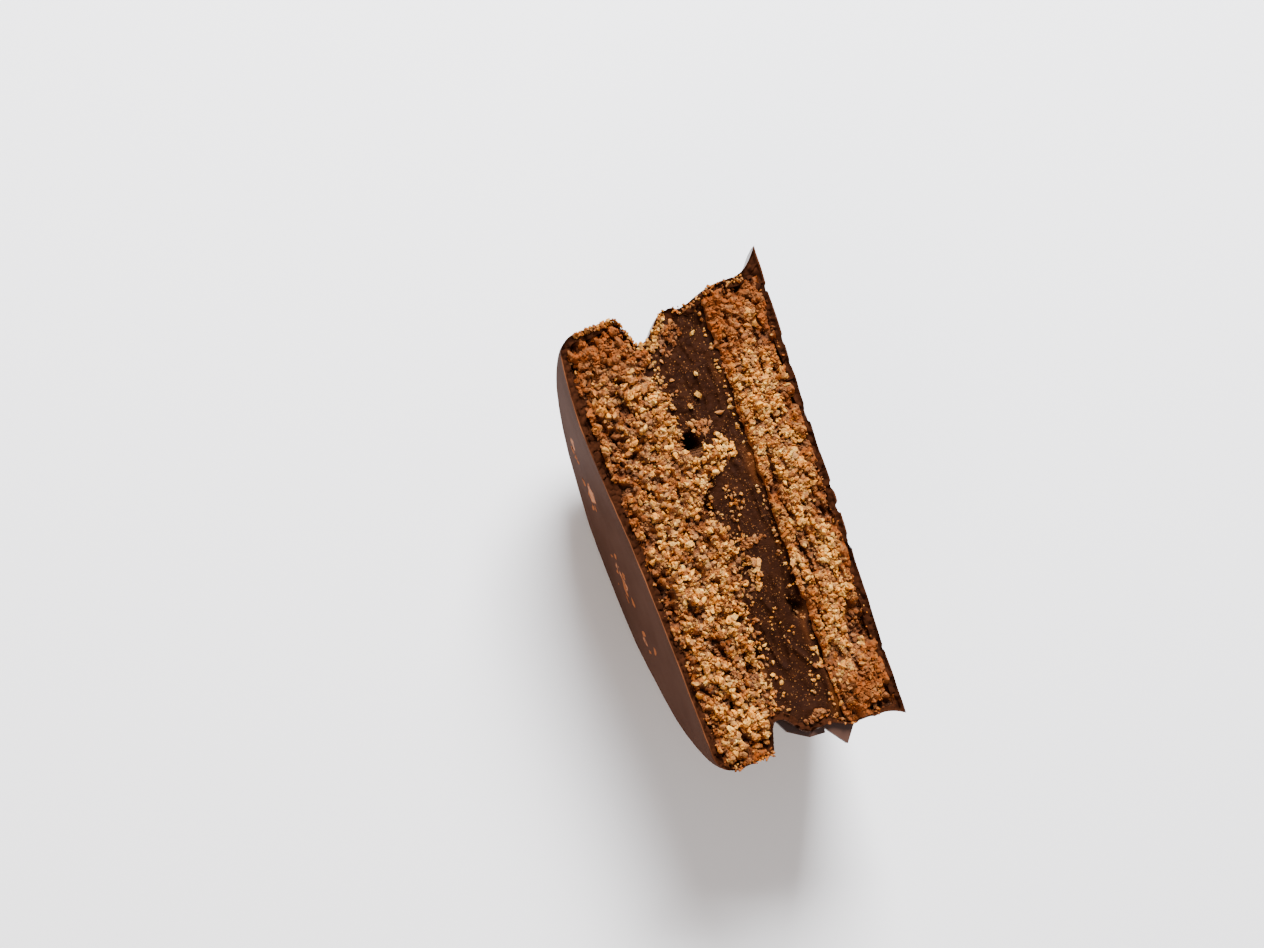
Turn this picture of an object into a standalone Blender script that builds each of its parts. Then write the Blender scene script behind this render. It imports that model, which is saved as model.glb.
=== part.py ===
"""Half of a chocolate-coated alfajor, snapped across and lying on its round rim.

The broken face looks up. X runs through the thickness, from the flat top (-X) to the base (+X),
and Y runs along the break. Two crumbly biscuits hold a thick filling. A thin chocolate coat wraps
them, rises a little off the crumb beside the break, dips into a groove and a shallow waist round
the rim and spreads into a sharp foot round the base.
Until the last step the disc's axis is the X axis, with the flat top at x = 0.
"""
import math
from collections import namedtuple

import bmesh
import bpy
from mathutils import Vector, noise

MM = 0.001

# Driving dimensions
RADIUS = 28.7 * MM
THICKNESS = 26.4 * MM
BASE_TILT = math.radians(3.2)
FLAT_SPOT_DEPTH = 0.35 * MM
NODE_GAP = 0.3 * MM

# Coat
COAT = 0.9 * MM
BASE_COAT = 0.8 * MM
SHOULDER = 2.7 * MM
LIFT = 0.85 * MM
LIFT_Y = 16.0 * MM
LIFT_ALONG = 13.0 * MM
LIFT_DOWN = 11.0 * MM
LIFT_EDGE_POWER = 10
GROOVE_X = 9.8 * MM
GROOVE_DEPTH = 4.0 * MM
GROOVE_STEEP_SIDE = 1.6 * MM
GROOVE_GENTLE_SIDE = 2.6 * MM
WAIST_X = 15.8 * MM
WAIST_DEPTH = 1.3 * MM
WAIST_SIDE = 2.2 * MM
FOOT_HEIGHT = 3.6 * MM
FOOT_REACH = 2.9 * MM
FOOT_REACH_HIDDEN = 0.5 * MM
FOOT_LOWER_SHARE = 0.3
FOOT_FOCUS = 3
FOOT_UNEVENNESS = 0.2 * MM
FOOT_WAVES = 4
FOOT_SEED = 7.7
FOOT_MIN_RADIUS = 0.6 * RADIUS

# Layers, as distances from the flat top at the middle of the break
FILLING_START = 9.7 * MM
FILLING_END = 17.8 * MM

# Mesh steps
TURN_STEPS = 84
SHOULDER_STEPS = 5
PLATE_RINGS = 6
RIM_STEP = 1.1 * MM
SLOPE_STEP = 0.05 * MM
ROWS = 72
BISCUIT_CELL = 0.85 * MM
FILLING_CELL = 1.1 * MM
COAT_CELL = 0.95 * MM
SIDE_LEVELS = (0.045, 0.09, 0.15, 0.23, 0.34, 0.5, 0.7)
BLOCK_HALF_LENGTH = 1.13 * RADIUS
LAYER_DEPTH = 1.1 * RADIUS
OUTSIDE = 2 * MM
MERGE_DISTANCE = 0.01 * MM

# Smooth swell of a broken face: height, wave size, seed, and how much Y counts (less than 1
# draws the waves out along the break)
Swell = namedtuple("Swell", "height size seed along")
# Rounded grains of a broken face
Grain = namedtuple("Grain", "height size seed")

BREAK_SWELL = Swell(0.45 * MM, 15.0 * MM, 4.2, 1.0)
TOP_BISCUIT_SWELL = Swell(0.75 * MM, 4.5 * MM, 8.1, 1.0)
TOP_BISCUIT_GRAIN = Grain(1.3 * MM, 2.2 * MM, 1.5)
FILLING_FOLDS = Swell(0.22 * MM, 3.0 * MM, 2.7, 0.35)
FILLING_DROP = 0.5 * MM
BASE_BISCUIT_STRIPS = Swell(0.8 * MM, 1.6 * MM, 6.3, 0.2)
BASE_BISCUIT_GRAIN = Grain(1.0 * MM, 2.1 * MM, 9.4)
COAT_SWELL = Swell(0.2 * MM, 1.8 * MM, 5.2, 1.0)
COAT_STEPS = Grain(0.35 * MM, 3.4 * MM, 3.9)
COAT_LIFT = 0.1 * MM

# A local rise (or a fall, if negative) of a surface, at (x, y) and fading over the two half sizes
Spot = namedtuple("Spot", "x y half_x half_y rise")

# Crumb of the top biscuit that spills over the filling: place along the break, half length, reach
LEDGES = (
    (8.3 * MM, 2.6 * MM, 4.3 * MM),
    (-4.0 * MM, 6.5 * MM, 2.1 * MM),
)
LEDGE_FADE = 5.0 * MM
DEEP_HOLE = Spot(11.3 * MM, 10.6 * MM, 1.5 * MM, 2.0 * MM, -4.0 * MM)
TOP_BISCUIT_SPOTS = (
    DEEP_HOLE,
    Spot(2.9 * MM, 14.6 * MM, 0.9 * MM, 2.6 * MM, -1.7 * MM),
    Spot(2.2 * MM, -6.5 * MM, 1.0 * MM, 3.0 * MM, -1.2 * MM),
    Spot(1.8 * MM, -22.0 * MM, 0.9 * MM, 3.0 * MM, -1.1 * MM),
    Spot(6.5 * MM, -13.0 * MM, 1.2 * MM, 2.4 * MM, -0.9 * MM),
    Spot(14.0 * MM, 9.0 * MM, 2.2 * MM, 2.2 * MM, 0.9 * MM),
)
FILLING_SPOTS = (
    DEEP_HOLE,
    Spot(17.4 * MM, 25.0 * MM, 0.8 * MM, 2.8 * MM, -1.0 * MM),
    Spot(17.2 * MM, -12.6 * MM, 0.8 * MM, 1.2 * MM, -1.8 * MM),
    Spot(13.0 * MM, -19.0 * MM, 3.0 * MM, 4.5 * MM, -0.6 * MM),
)
BASE_BISCUIT_SPOTS = (
    Spot(24.1 * MM, -17.3 * MM, 1.5 * MM, 3.5 * MM, -2.6 * MM),
    Spot(21.8 * MM, -24.0 * MM, 2.6 * MM, 4.2 * MM, 1.1 * MM),
    Spot(21.5 * MM, -6.5 * MM, 0.8 * MM, 3.5 * MM, -1.1 * MM),
    Spot(18.2 * MM, -12.6 * MM, 0.8 * MM, 1.2 * MM, -1.4 * MM),
)

# Splinter of coat that juts out at the lower end of the break: corners (x, y), and its two levels
SPLINTER_CORNERS = ((14.9, -27.1), (17.7, -30.6), (19.6, -28.3), (18.8, -27.7))
SPLINTER_TOP = -0.4 * MM
SPLINTER_BOTTOM = -1.5 * MM


def bell(offset, half_size):
    """Smooth bump of height 1 that has fallen to 0.37 at half_size."""
    return math.exp(-((offset / half_size) ** 2))


def spots_rise(spots, x, y):
    """Sum of the local rises at (x, y)."""
    return sum(s.rise * bell(x - s.x, s.half_x) * bell(y - s.y, s.half_y) for s in spots)


def swell(kind, x, y):
    """Height of a smooth swell at (x, y), positive or negative."""
    place = Vector((x / kind.size, kind.along * y / kind.size, kind.seed))
    return kind.height * noise.noise(place)


def grain(kind, x, y):
    """Height of rounded grains at (x, y), from -0.5 to 0.5 of their full height."""
    nearest = noise.voronoi(Vector((x / kind.size, y / kind.size, kind.seed)))[0][0]
    return kind.height * (0.5 - min(nearest, 1.0))


def top_biscuit_height(x, y):
    """Coarse crumb of the thicker biscuit under the flat top."""
    crumb = grain(TOP_BISCUIT_GRAIN, x, y) + swell(TOP_BISCUIT_SWELL, x, y)
    return swell(BREAK_SWELL, x, y) + crumb + spots_rise(TOP_BISCUIT_SPOTS, x, y)


def filling_height(x, y):
    """Smoother filling, a little lower than the biscuits, with low folds along the break."""
    folds = swell(FILLING_FOLDS, x, y) - FILLING_DROP
    return swell(BREAK_SWELL, x, y) + folds + spots_rise(FILLING_SPOTS, x, y)


def base_biscuit_height(x, y):
    """Flaky crumb of the base biscuit, in strips that run along the break."""
    crumb = grain(BASE_BISCUIT_GRAIN, x, y) + swell(BASE_BISCUIT_STRIPS, x, y)
    return swell(BREAK_SWELL, x, y) + crumb + spots_rise(BASE_BISCUIT_SPOTS, x, y)


def coat_height(x, y):
    """Brittle coat: an uneven edge with short steps."""
    steps = grain(COAT_STEPS, x, y) + swell(COAT_SWELL, x, y)
    return swell(BREAK_SWELL, x, y) + steps + COAT_LIFT


def rim_radius(x):
    """Outer radius of the coat at x, with groove and waist, without shoulder and foot."""
    if x < GROOVE_X:
        groove = math.exp(-((GROOVE_X - x) / GROOVE_STEEP_SIDE) ** 4)
    else:
        groove = bell(x - GROOVE_X, GROOVE_GENTLE_SIDE)
    return RADIUS - GROOVE_DEPTH * groove - WAIST_DEPTH * bell(x - WAIST_X, WAIST_SIDE)


def turned_profile(inset, end, rings=1):
    """Half outline (x, radius) of a turned body that ends at x = end, inset from the coat's skin.

    Its flat top is divided into a number of rings.
    """
    corner = SHOULDER - inset
    points = [(inset, (RADIUS - SHOULDER) * ring / rings) for ring in range(rings)]
    for step in range(SHOULDER_STEPS + 1):
        angle = 0.5 * math.pi * step / SHOULDER_STEPS
        points.append((SHOULDER - corner * math.cos(angle),
                       RADIUS - SHOULDER + corner * math.sin(angle)))
    count = round((THICKNESS - SHOULDER) / RIM_STEP)
    for step in range(1, count + 1):
        x = SHOULDER + (THICKNESS - SHOULDER) * step / count
        slope = (rim_radius(x + SLOPE_STEP) - rim_radius(x - SLOPE_STEP)) / (2 * SLOPE_STEP)
        length = math.hypot(1.0, slope)
        inner_x = x + inset * slope / length
        if points[-1][0] < inner_x and x < end - 0.3 * RIM_STEP:
            points.append((inner_x, rim_radius(x) - inset / length))
    return points + [(end, rim_radius(end) - inset), (end, 0.0)]


def foot_reach(angle):
    """Reach of the foot beyond the rim: widest at the +Y end, least where the piece lies on it."""
    upper_end = max(math.cos(angle), 0.0) ** FOOT_FOCUS
    lower_end = max(-math.cos(angle), 0.0) ** FOOT_FOCUS
    place = Vector((FOOT_WAVES * math.cos(angle), FOOT_WAVES * math.sin(angle), FOOT_SEED))
    uneven = FOOT_UNEVENNESS * noise.noise(place)
    share = upper_end + FOOT_LOWER_SHARE * lower_end
    reach = FOOT_REACH_HIDDEN + (FOOT_REACH - FOOT_REACH_HIDDEN) * share
    return reach + uneven * (upper_end + lower_end)


def spread_foot(co):
    """Draw a point near the base outwards, in a hollow curve up to the sharp foot."""
    climb = (co.x - (THICKNESS - FOOT_HEIGHT)) / FOOT_HEIGHT
    radius = math.hypot(co.y, co.z)
    if climb <= 0 or radius < FOOT_MIN_RADIUS:
        return co
    stretch = 1 + foot_reach(math.atan2(co.z, co.y)) * climb ** 2 / radius
    return Vector((co.x, co.y * stretch, co.z * stretch))


def lift_top(co):
    """Raise the flat top a little beside the break, most towards its +Y end."""
    edge = min(math.hypot(co.y, co.z) / (RADIUS - SHOULDER), 1.0) ** LIFT_EDGE_POWER
    flat = max(1 - co.x / SHOULDER, 0.0)
    rise = LIFT * bell(co.y - LIFT_Y, LIFT_ALONG) * bell(co.z, LIFT_DOWN) * (1 - edge) * flat
    return Vector((co.x - rise, co.y, co.z))


def tilt_base(co):
    """Make the piece thicker towards +Y, so that the base leans by BASE_TILT."""
    return Vector((co.x * (1 + math.tan(BASE_TILT) * co.y / THICKNESS), co.y, co.z))


def add_object(name, bm, collection, parent):
    """Finish a mesh and link it under the parent empty."""
    for vert in bm.verts:
        vert.co = tilt_base(vert.co)
    bmesh.ops.recalc_face_normals(bm, faces=bm.faces[:])
    mesh = bpy.data.meshes.new(name)
    bm.to_mesh(mesh)
    bm.free()
    obj = bpy.data.objects.new(name, mesh)
    obj.parent = parent
    collection.objects.link(obj)
    return obj


def turned_body(profile):
    """Closed body of revolution about the X axis."""
    bm = bmesh.new()
    verts = [bm.verts.new((x, radius, 0.0)) for x, radius in profile]
    edges = [bm.edges.new(pair) for pair in zip(verts, verts[1:])]
    bmesh.ops.spin(bm, geom=verts + edges, cent=(0, 0, 0), axis=(1, 0, 0), angle=2 * math.pi,
                   steps=TURN_STEPS, use_merge=True)
    bmesh.ops.remove_doubles(bm, verts=bm.verts[:], dist=MERGE_DISTANCE)
    return bm


def layer_block(near_side, far_side, height, cell, depth):
    """Block between two side surfaces x(y, z), with a broken top z(x, y) and a flat bottom."""
    columns = round((far_side(0.0, 0.0) - near_side(0.0, 0.0)) / cell)
    bm = bmesh.new()
    bmesh.ops.create_grid(bm, x_segments=columns, y_segments=ROWS, size=0.5)
    extruded = bmesh.ops.extrude_face_region(bm, geom=bm.faces[:])["geom"]
    bottom = [part for part in extruded if isinstance(part, bmesh.types.BMFace)]
    moved = [part for part in extruded if isinstance(part, bmesh.types.BMVert)]
    bmesh.ops.translate(bm, verts=moved, vec=(0, 0, -1))
    bmesh.ops.dissolve_faces(bm, faces=bottom)
    for level in SIDE_LEVELS:
        bmesh.ops.bisect_plane(bm, geom=bm.verts[:] + bm.edges[:] + bm.faces[:],
                               plane_co=(0, 0, -level), plane_no=(0, 0, 1))
    for vert in bm.verts:
        across, along, down = vert.co.x + 0.5, vert.co.y, -vert.co.z
        y = 2 * BLOCK_HALF_LENGTH * along
        x = near_side(y, 0.0) + across * (far_side(y, 0.0) - near_side(y, 0.0))
        top = height(x, y)
        z = top - down * (top + depth)
        vert.co = (near_side(y, z) + across * (far_side(y, z) - near_side(y, z)), y, z)
    return bm


def plane_at(x):
    """Side surface that is a flat plane at x."""
    return lambda y, z: x


def crumb_ledge(offset):
    """Side between top biscuit and filling: crumb spills over the filling near the break."""
    def side(y, z):
        spill = sum(reach * bell(y - place, half) for place, half, reach in LEDGES)
        return FILLING_START + spill * math.exp(min(z, 0.0) / LEDGE_FADE) + offset
    return side


def splinter():
    """Thin prism of coat."""
    bm = bmesh.new()
    verts = [bm.verts.new((x * MM, y * MM, SPLINTER_TOP)) for x, y in SPLINTER_CORNERS]
    face = bm.faces.new(verts)
    extruded = bmesh.ops.extrude_face_region(bm, geom=[face])["geom"]
    moved = [part for part in extruded if isinstance(part, bmesh.types.BMVert)]
    bmesh.ops.translate(bm, verts=moved, vec=(0, 0, SPLINTER_BOTTOM - SPLINTER_TOP))
    return bm


def boolean(obj, operation, cutter):
    """Add a live Boolean modifier."""
    modifier = obj.modifiers.new(f"{operation.lower()} {cutter.name}", "BOOLEAN")
    modifier.operation = operation
    modifier.object = cutter


def colour(obj, rgb, roughness):
    """Give an object its own Principled material."""
    material = bpy.data.materials.new(f"{obj.name}_material")
    material.use_nodes = True
    shader = material.node_tree.nodes["Principled BSDF"]
    shader.inputs["Base Color"].default_value = (*rgb, 1.0)
    shader.inputs["Roughness"].default_value = roughness
    obj.data.materials.append(material)


def hide_cutters(collection):
    """Show the cutters as wires only."""
    for obj in collection.objects:
        obj.hide_render = True
        obj.display_type = "WIRE"


def stand_on_floor(parts, parent):
    """Move the parent so that the finished parts are centred over the origin and touch z = 0."""
    graph = bpy.context.evaluated_depsgraph_get()
    corners = [v.co.copy() for part in parts for v in part.evaluated_get(graph).data.vertices]
    low = Vector([min(c[axis] for c in corners) for axis in range(3)])
    high = Vector([max(c[axis] for c in corners) for axis in range(3)])
    parent.location = (-(low.x + high.x) / 2, -(low.y + high.y) / 2, -low.z)


def build_coating(parts, cutters, parent):
    """Thin shell with its groove and foot, broken across and flattened a little where it lies."""
    bm = turned_body(turned_profile(0.0, THICKNESS, PLATE_RINGS))
    for vert in bm.verts:
        vert.co = lift_top(spread_foot(vert.co))
    shell = add_object("coating", bm, parts, parent)
    hollow_profile = turned_profile(COAT, THICKNESS - BASE_COAT)
    hollow = add_object("cut_hollow", turned_body(hollow_profile), cutters, parent)
    block = layer_block(plane_at(-OUTSIDE), plane_at(THICKNESS + OUTSIDE), coat_height, COAT_CELL,
                        RADIUS - FLAT_SPOT_DEPTH)
    lower_half = add_object("cut_coat_break", block, cutters, parent)
    boolean(shell, "DIFFERENCE", hollow)
    boolean(shell, "INTERSECT", lower_half)
    boolean(shell, "UNION", add_object("join_splinter", splinter(), cutters, parent))
    colour(shell, (0.045, 0.025, 0.02), 0.35)
    return shell


def build_layer(name, near_side, far_side, height, cell, core, parts, parent):
    """One layer of the inside, trimmed to the inner core."""
    layer = add_object(name, layer_block(near_side, far_side, height, cell, LAYER_DEPTH), parts,
                       parent)
    boolean(layer, "INTERSECT", core)
    return layer


def build_inside(parts, cutters, parent):
    """Two biscuits and the filling, with a hair of clearance between them."""
    core_start = COAT + NODE_GAP
    core_end = THICKNESS - BASE_COAT - NODE_GAP
    core_profile = turned_profile(core_start, core_end)
    core = add_object("trim_core", turned_body(core_profile), cutters, parent)
    half_gap = NODE_GAP / 2
    top = build_layer("biscuit_top", plane_at(core_start - OUTSIDE), crumb_ledge(-half_gap),
                      top_biscuit_height, BISCUIT_CELL, core, parts, parent)
    filling = build_layer("filling", crumb_ledge(half_gap), plane_at(FILLING_END - half_gap),
                          filling_height, FILLING_CELL, core, parts, parent)
    base = build_layer("biscuit_base", plane_at(FILLING_END + half_gap),
                       plane_at(core_end + OUTSIDE), base_biscuit_height, BISCUIT_CELL, core,
                       parts, parent)
    colour(top, (0.55, 0.30, 0.12), 0.9)
    colour(filling, (0.09, 0.04, 0.022), 0.6)
    colour(base, (0.50, 0.25, 0.09), 0.9)
    return [top, filling, base]


def main():
    """Build the half biscuit in an empty scene."""
    for obj in list(bpy.data.objects):
        bpy.data.objects.remove(obj, do_unlink=True)
    parts = bpy.data.collections.new("alfajor_half")
    cutters = bpy.data.collections.new("alfajor_cutters")
    bpy.context.scene.collection.children.link(parts)
    bpy.context.scene.collection.children.link(cutters)
    parent = bpy.data.objects.new("alfajor_frame", None)
    parts.objects.link(parent)
    nodes = [build_coating(parts, cutters, parent)] + build_inside(parts, cutters, parent)
    hide_cutters(cutters)
    stand_on_floor(nodes, parent)


main()
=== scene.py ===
import logging
import math
import random
from dataclasses import dataclass, field
from enum import Enum
from functools import cached_property
from typing import Any, Callable, Sequence

import bmesh
import bpy
import numpy as np
from mathutils import Euler, Matrix, Vector, noise


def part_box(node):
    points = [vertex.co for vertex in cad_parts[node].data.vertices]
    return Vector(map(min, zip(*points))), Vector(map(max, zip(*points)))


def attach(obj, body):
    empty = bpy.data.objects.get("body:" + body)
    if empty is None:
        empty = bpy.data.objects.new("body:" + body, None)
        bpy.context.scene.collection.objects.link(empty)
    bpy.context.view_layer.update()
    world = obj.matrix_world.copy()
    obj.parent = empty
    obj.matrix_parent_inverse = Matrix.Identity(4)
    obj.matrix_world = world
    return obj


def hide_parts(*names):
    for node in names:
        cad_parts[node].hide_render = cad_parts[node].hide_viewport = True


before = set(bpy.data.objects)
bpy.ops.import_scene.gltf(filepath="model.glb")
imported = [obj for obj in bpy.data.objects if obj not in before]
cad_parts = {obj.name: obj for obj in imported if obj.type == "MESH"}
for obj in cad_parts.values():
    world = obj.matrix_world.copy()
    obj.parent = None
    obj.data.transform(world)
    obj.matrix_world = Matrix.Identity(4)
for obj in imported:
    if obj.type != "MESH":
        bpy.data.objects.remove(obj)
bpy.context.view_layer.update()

MM = 0.001
# The print of the crumb inside the coat draws on this seed, so that each run gives the same coat
NOISE_SEED = 7

log = logging.getLogger("alfajor")

# A broken face as z(x, y), and a layer's side as x(y, z)
Height = Callable[[float, float], float]
Side = Callable[[float, float], float]
Colour = tuple[float, float, float, float]


# ---------------------------------------------------------------------------------------------
# Colours and small helpers
# ---------------------------------------------------------------------------------------------

def tint(red: int, green: int, blue: int) -> Colour:
    """Turn a colour as seen on a screen, 0 to 255, into the linear colour that a shader takes.

    Args:
        red: Red on the screen.
        green: Green on the screen.
        blue: Blue on the screen.

    Returns:
        The linear colour, with an alpha of 1.
    """
    def linear(level: int) -> float:
        """Undo the screen's tone curve for one channel."""
        share = level / 255
        return share / 12.92 if share <= 0.04045 else ((share + 0.055) / 1.055) ** 2.4
    return (linear(red), linear(green), linear(blue), 1.0)


def bell(offset: float, half_size: float) -> float:
    """Give a smooth bump of height 1 that has fallen to 0.37 at half_size."""
    return math.exp(-((offset / half_size) ** 2))


def ramp(value: float, low: float, high: float) -> float:
    """Rise smoothly from 0 at low to 1 at high."""
    share = min(max((value - low) / (high - low), 0.0), 1.0)
    return share * share * (3 - 2 * share)


def ripple(x: float, y: float, size: float, seed: float) -> float:
    """Give smooth noise between -1 and 1 with waves of about the given size."""
    return noise.noise(Vector((x / size, y / size, seed)))


def chance(point: Vector) -> float:
    """Give each cell centre its own fixed number between 0 and 1."""
    return math.sin(point.x * 127.1 + point.y * 311.7 + point.z * 74.7) * 43758.5453 % 1.0


# ---------------------------------------------------------------------------------------------
# The shape that every piece shares
# ---------------------------------------------------------------------------------------------

@dataclass(frozen=True)
class HalfDisc:
    """The turned outline of the coated half, with its axis along X and its break at z = 0."""

    radius: float = 28.7 * MM
    thickness: float = 26.4 * MM
    base_tilt: float = math.radians(3.2)
    flat_spot_depth: float = 0.35 * MM
    coat: float = 0.9 * MM
    node_gap: float = 0.3 * MM
    visible_coat: float = 1.15 * MM
    shoulder: float = 2.7 * MM
    lift: float = 0.85 * MM
    lift_y: float = 16.0 * MM
    lift_along: float = 13.0 * MM
    lift_down: float = 11.0 * MM
    lift_edge_power: int = 10
    crumb_rise: float = 0.45
    groove_x: float = 9.8 * MM
    groove_depth: float = 4.0 * MM
    groove_steep_side: float = 1.6 * MM
    groove_gentle_side: float = 2.6 * MM
    waist_x: float = 15.8 * MM
    waist_depth: float = 1.3 * MM
    waist_side: float = 2.2 * MM
    foot_height: float = 3.6 * MM
    foot_reach_upper: float = 2.9 * MM
    foot_reach_hidden: float = 0.5 * MM
    foot_lower_share: float = 0.3
    foot_focus: int = 3
    foot_unevenness: float = 0.2 * MM
    foot_waves: int = 4
    foot_seed: float = 7.7
    foot_min_radius: float = 0.6
    slope_step: float = 0.05 * MM
    filling_start: float = 9.7 * MM
    filling_end: float = 17.8 * MM

    @cached_property
    def origin(self) -> Vector:
        """The disc's centre on the flat top, as a place in the row frame."""
        low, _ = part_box("coating")
        crumb_low, crumb_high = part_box("biscuit_top")
        return Vector((crumb_low.x - self.coat - self.node_gap,
                       (crumb_low.y + crumb_high.y) / 2,
                       low.z + self.radius - self.flat_spot_depth))

    def rim_radius(self, x: float) -> float:
        """Give the coat's outer radius at x, with groove and waist, without shoulder and foot."""
        if x < self.groove_x:
            groove = math.exp(-((self.groove_x - x) / self.groove_steep_side) ** 4)
        else:
            groove = bell(x - self.groove_x, self.groove_gentle_side)
        waist = bell(x - self.waist_x, self.waist_side)
        return self.radius - self.groove_depth * groove - self.waist_depth * waist

    def skin_radius(self, x: float) -> float:
        """Give the coat's outer radius at x, with the shoulder but without the foot."""
        drop = 0.0
        if x < self.shoulder:
            across = min((self.shoulder - x) / self.shoulder, 1.0)
            drop = self.shoulder * (1 - math.sqrt(1 - across * across))
        return self.rim_radius(x) - drop

    def profile(self, inset: float, end: float, step: float, rings: int) -> list[Vector]:
        """Trace the half outline of a turned body in the XY plane.

        Args:
            inset: Distance inwards from the coat's outer skin.
            end: Where along X the body ends.
            step: Length of the pieces along the rim.
            rings: Number of rings on each flat face.

        Returns:
            The outline's points, from the axis at the flat top to the axis at the base.
        """
        corner = self.shoulder - inset
        flat_radius = self.radius - self.shoulder
        points = [Vector((inset, flat_radius * ring / rings, 0)) for ring in range(rings)]
        arc_steps = max(round(0.5 * math.pi * corner / step), 4)
        for count in range(arc_steps + 1):
            angle = 0.5 * math.pi * count / arc_steps
            points.append(Vector((self.shoulder - corner * math.cos(angle),
                                  flat_radius + corner * math.sin(angle), 0)))
        rim_steps = round((self.thickness - self.shoulder) / step)
        for count in range(1, rim_steps + 1):
            x = self.shoulder + (self.thickness - self.shoulder) * count / rim_steps
            rise = self.rim_radius(x + self.slope_step) - self.rim_radius(x - self.slope_step)
            slope = rise / (2 * self.slope_step)
            length = math.hypot(1.0, slope)
            inner_x = x + inset * slope / length
            if points[-1].x < inner_x and x < end - 0.3 * step:
                points.append(Vector((inner_x, self.rim_radius(x) - inset / length, 0)))
        rim_end = self.rim_radius(end) - inset
        points += [Vector((end, rim_end * (1 - ring / rings), 0)) for ring in range(rings + 1)]
        return points

    def top_rise(self, y: float, z: float) -> float:
        """Give how far the flat top rises beside the break, most towards its +Y end."""
        outwards = min(math.hypot(y, z) / (self.radius - self.shoulder), 1.0)
        edge = outwards ** self.lift_edge_power
        return (self.lift * bell(y - self.lift_y, self.lift_along) * bell(z, self.lift_down)
                * (1 - edge))

    def lift_top(self, co: Vector, share: float = 1.0) -> Vector:
        """Raise a point near the flat top by a share of its rise."""
        flat = max(1 - co.x / self.shoulder, 0.0)
        return co - Vector((share * flat * self.top_rise(co.y, co.z), 0, 0))

    def foot_reach(self, angle: float) -> float:
        """Give how far the foot spreads beyond the rim at an angle round the disc."""
        upper = max(math.cos(angle), 0.0) ** self.foot_focus
        lower = max(-math.cos(angle), 0.0) ** self.foot_focus
        uneven = self.foot_unevenness * noise.noise(Vector((
            self.foot_waves * math.cos(angle), self.foot_waves * math.sin(angle), self.foot_seed)))
        spread = self.foot_reach_upper - self.foot_reach_hidden
        return (self.foot_reach_hidden + spread * (upper + self.foot_lower_share * lower)
                + uneven * (upper + lower))

    def foot_climb(self, x: float) -> float:
        """Give how far up the foot x lies: 1 at the base, 0 where it starts, negative before."""
        return (x - (self.thickness - self.foot_height)) / self.foot_height

    def broken_radius(self, x: float, y: float) -> float:
        """Give how far the skin lies from the axis at the break, with shoulder and foot."""
        climb = max(self.foot_climb(x), 0.0)
        spread = self.foot_reach_upper - self.foot_reach_hidden
        reach = self.foot_reach_upper if y > 0 else (
            self.foot_reach_hidden + self.foot_lower_share * spread)
        return self.skin_radius(x) + reach * climb ** 2

    def skin_depth(self, co: Vector) -> float:
        """Give how far inside the outer skin any point of the coat lies."""
        climb = max(self.foot_climb(co.x), 0.0)
        reach = self.foot_reach(math.atan2(co.z, co.y)) * climb ** 2
        outer = self.skin_radius(co.x) + reach
        return min(co.x + self.top_rise(co.y, co.z), self.thickness - co.x,
                   outer - math.hypot(co.y, co.z))

    def spread_foot(self, co: Vector) -> Vector:
        """Draw a point near the base outwards, in a hollow curve up to the sharp foot."""
        climb = self.foot_climb(co.x)
        radius = math.hypot(co.y, co.z)
        if climb <= 0 or radius < self.foot_min_radius * self.radius:
            return co
        stretch = 1 + self.foot_reach(math.atan2(co.z, co.y)) * climb ** 2 / radius
        return Vector((co.x, co.y * stretch, co.z * stretch))

    def place(self, co: Vector) -> Vector:
        """Move a point from the disc's own axes to the row frame, with the base's lean."""
        lean = 1 + math.tan(self.base_tilt) * co.y / self.thickness
        return Vector((co.x * lean, co.y, co.z)) + self.origin


DISC = HalfDisc()

# A spot has no effect from here on, as its squared distance in half sizes
SPOT_END = 9.0


@dataclass(frozen=True)
class Spot:
    """A local rise of a broken face, or a fall if negative."""

    x: float
    y: float
    half_x: float
    half_y: float
    rise: float
    steep: bool = False

    def at(self, x: float, y: float) -> float:
        """Give the rise at (x, y)."""
        reach = ((x - self.x) / self.half_x) ** 2 + ((y - self.y) / self.half_y) ** 2
        if reach > SPOT_END:
            return 0.0
        return self.rise * math.exp(-reach ** 3 if self.steep else -reach)


def dents(*rows: tuple[float, ...]) -> tuple[Spot, ...]:
    """Make spots from rows of x, y, half_x, half_y and rise, all in millimetres."""
    return tuple(Spot(*(value * MM for value in row)) for row in rows)


def shades(*rows: tuple[float, ...]) -> tuple[Spot, ...]:
    """Make spots from rows of x, y, half_x, half_y in millimetres, and a change of shade."""
    return tuple(Spot(*(value * MM for value in row[:-1]), row[-1]) for row in rows)


def sugar_clusters(*places: tuple[float, float]) -> tuple[Spot, ...]:
    """Make small pale spots at places in millimetres."""
    return shades(*((x, y, 0.6, 0.7, 0.5) for x, y in places))


@dataclass(frozen=True)
class Swell:
    """Smooth waves of a face. A small along draws them out along the break."""

    height: float
    size: float
    seed: float
    along: float = 1.0

    def at(self, x: float, y: float) -> float:
        """Give the height at (x, y)."""
        return self.height * ripple(x, self.along * y, self.size, self.seed)


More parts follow.
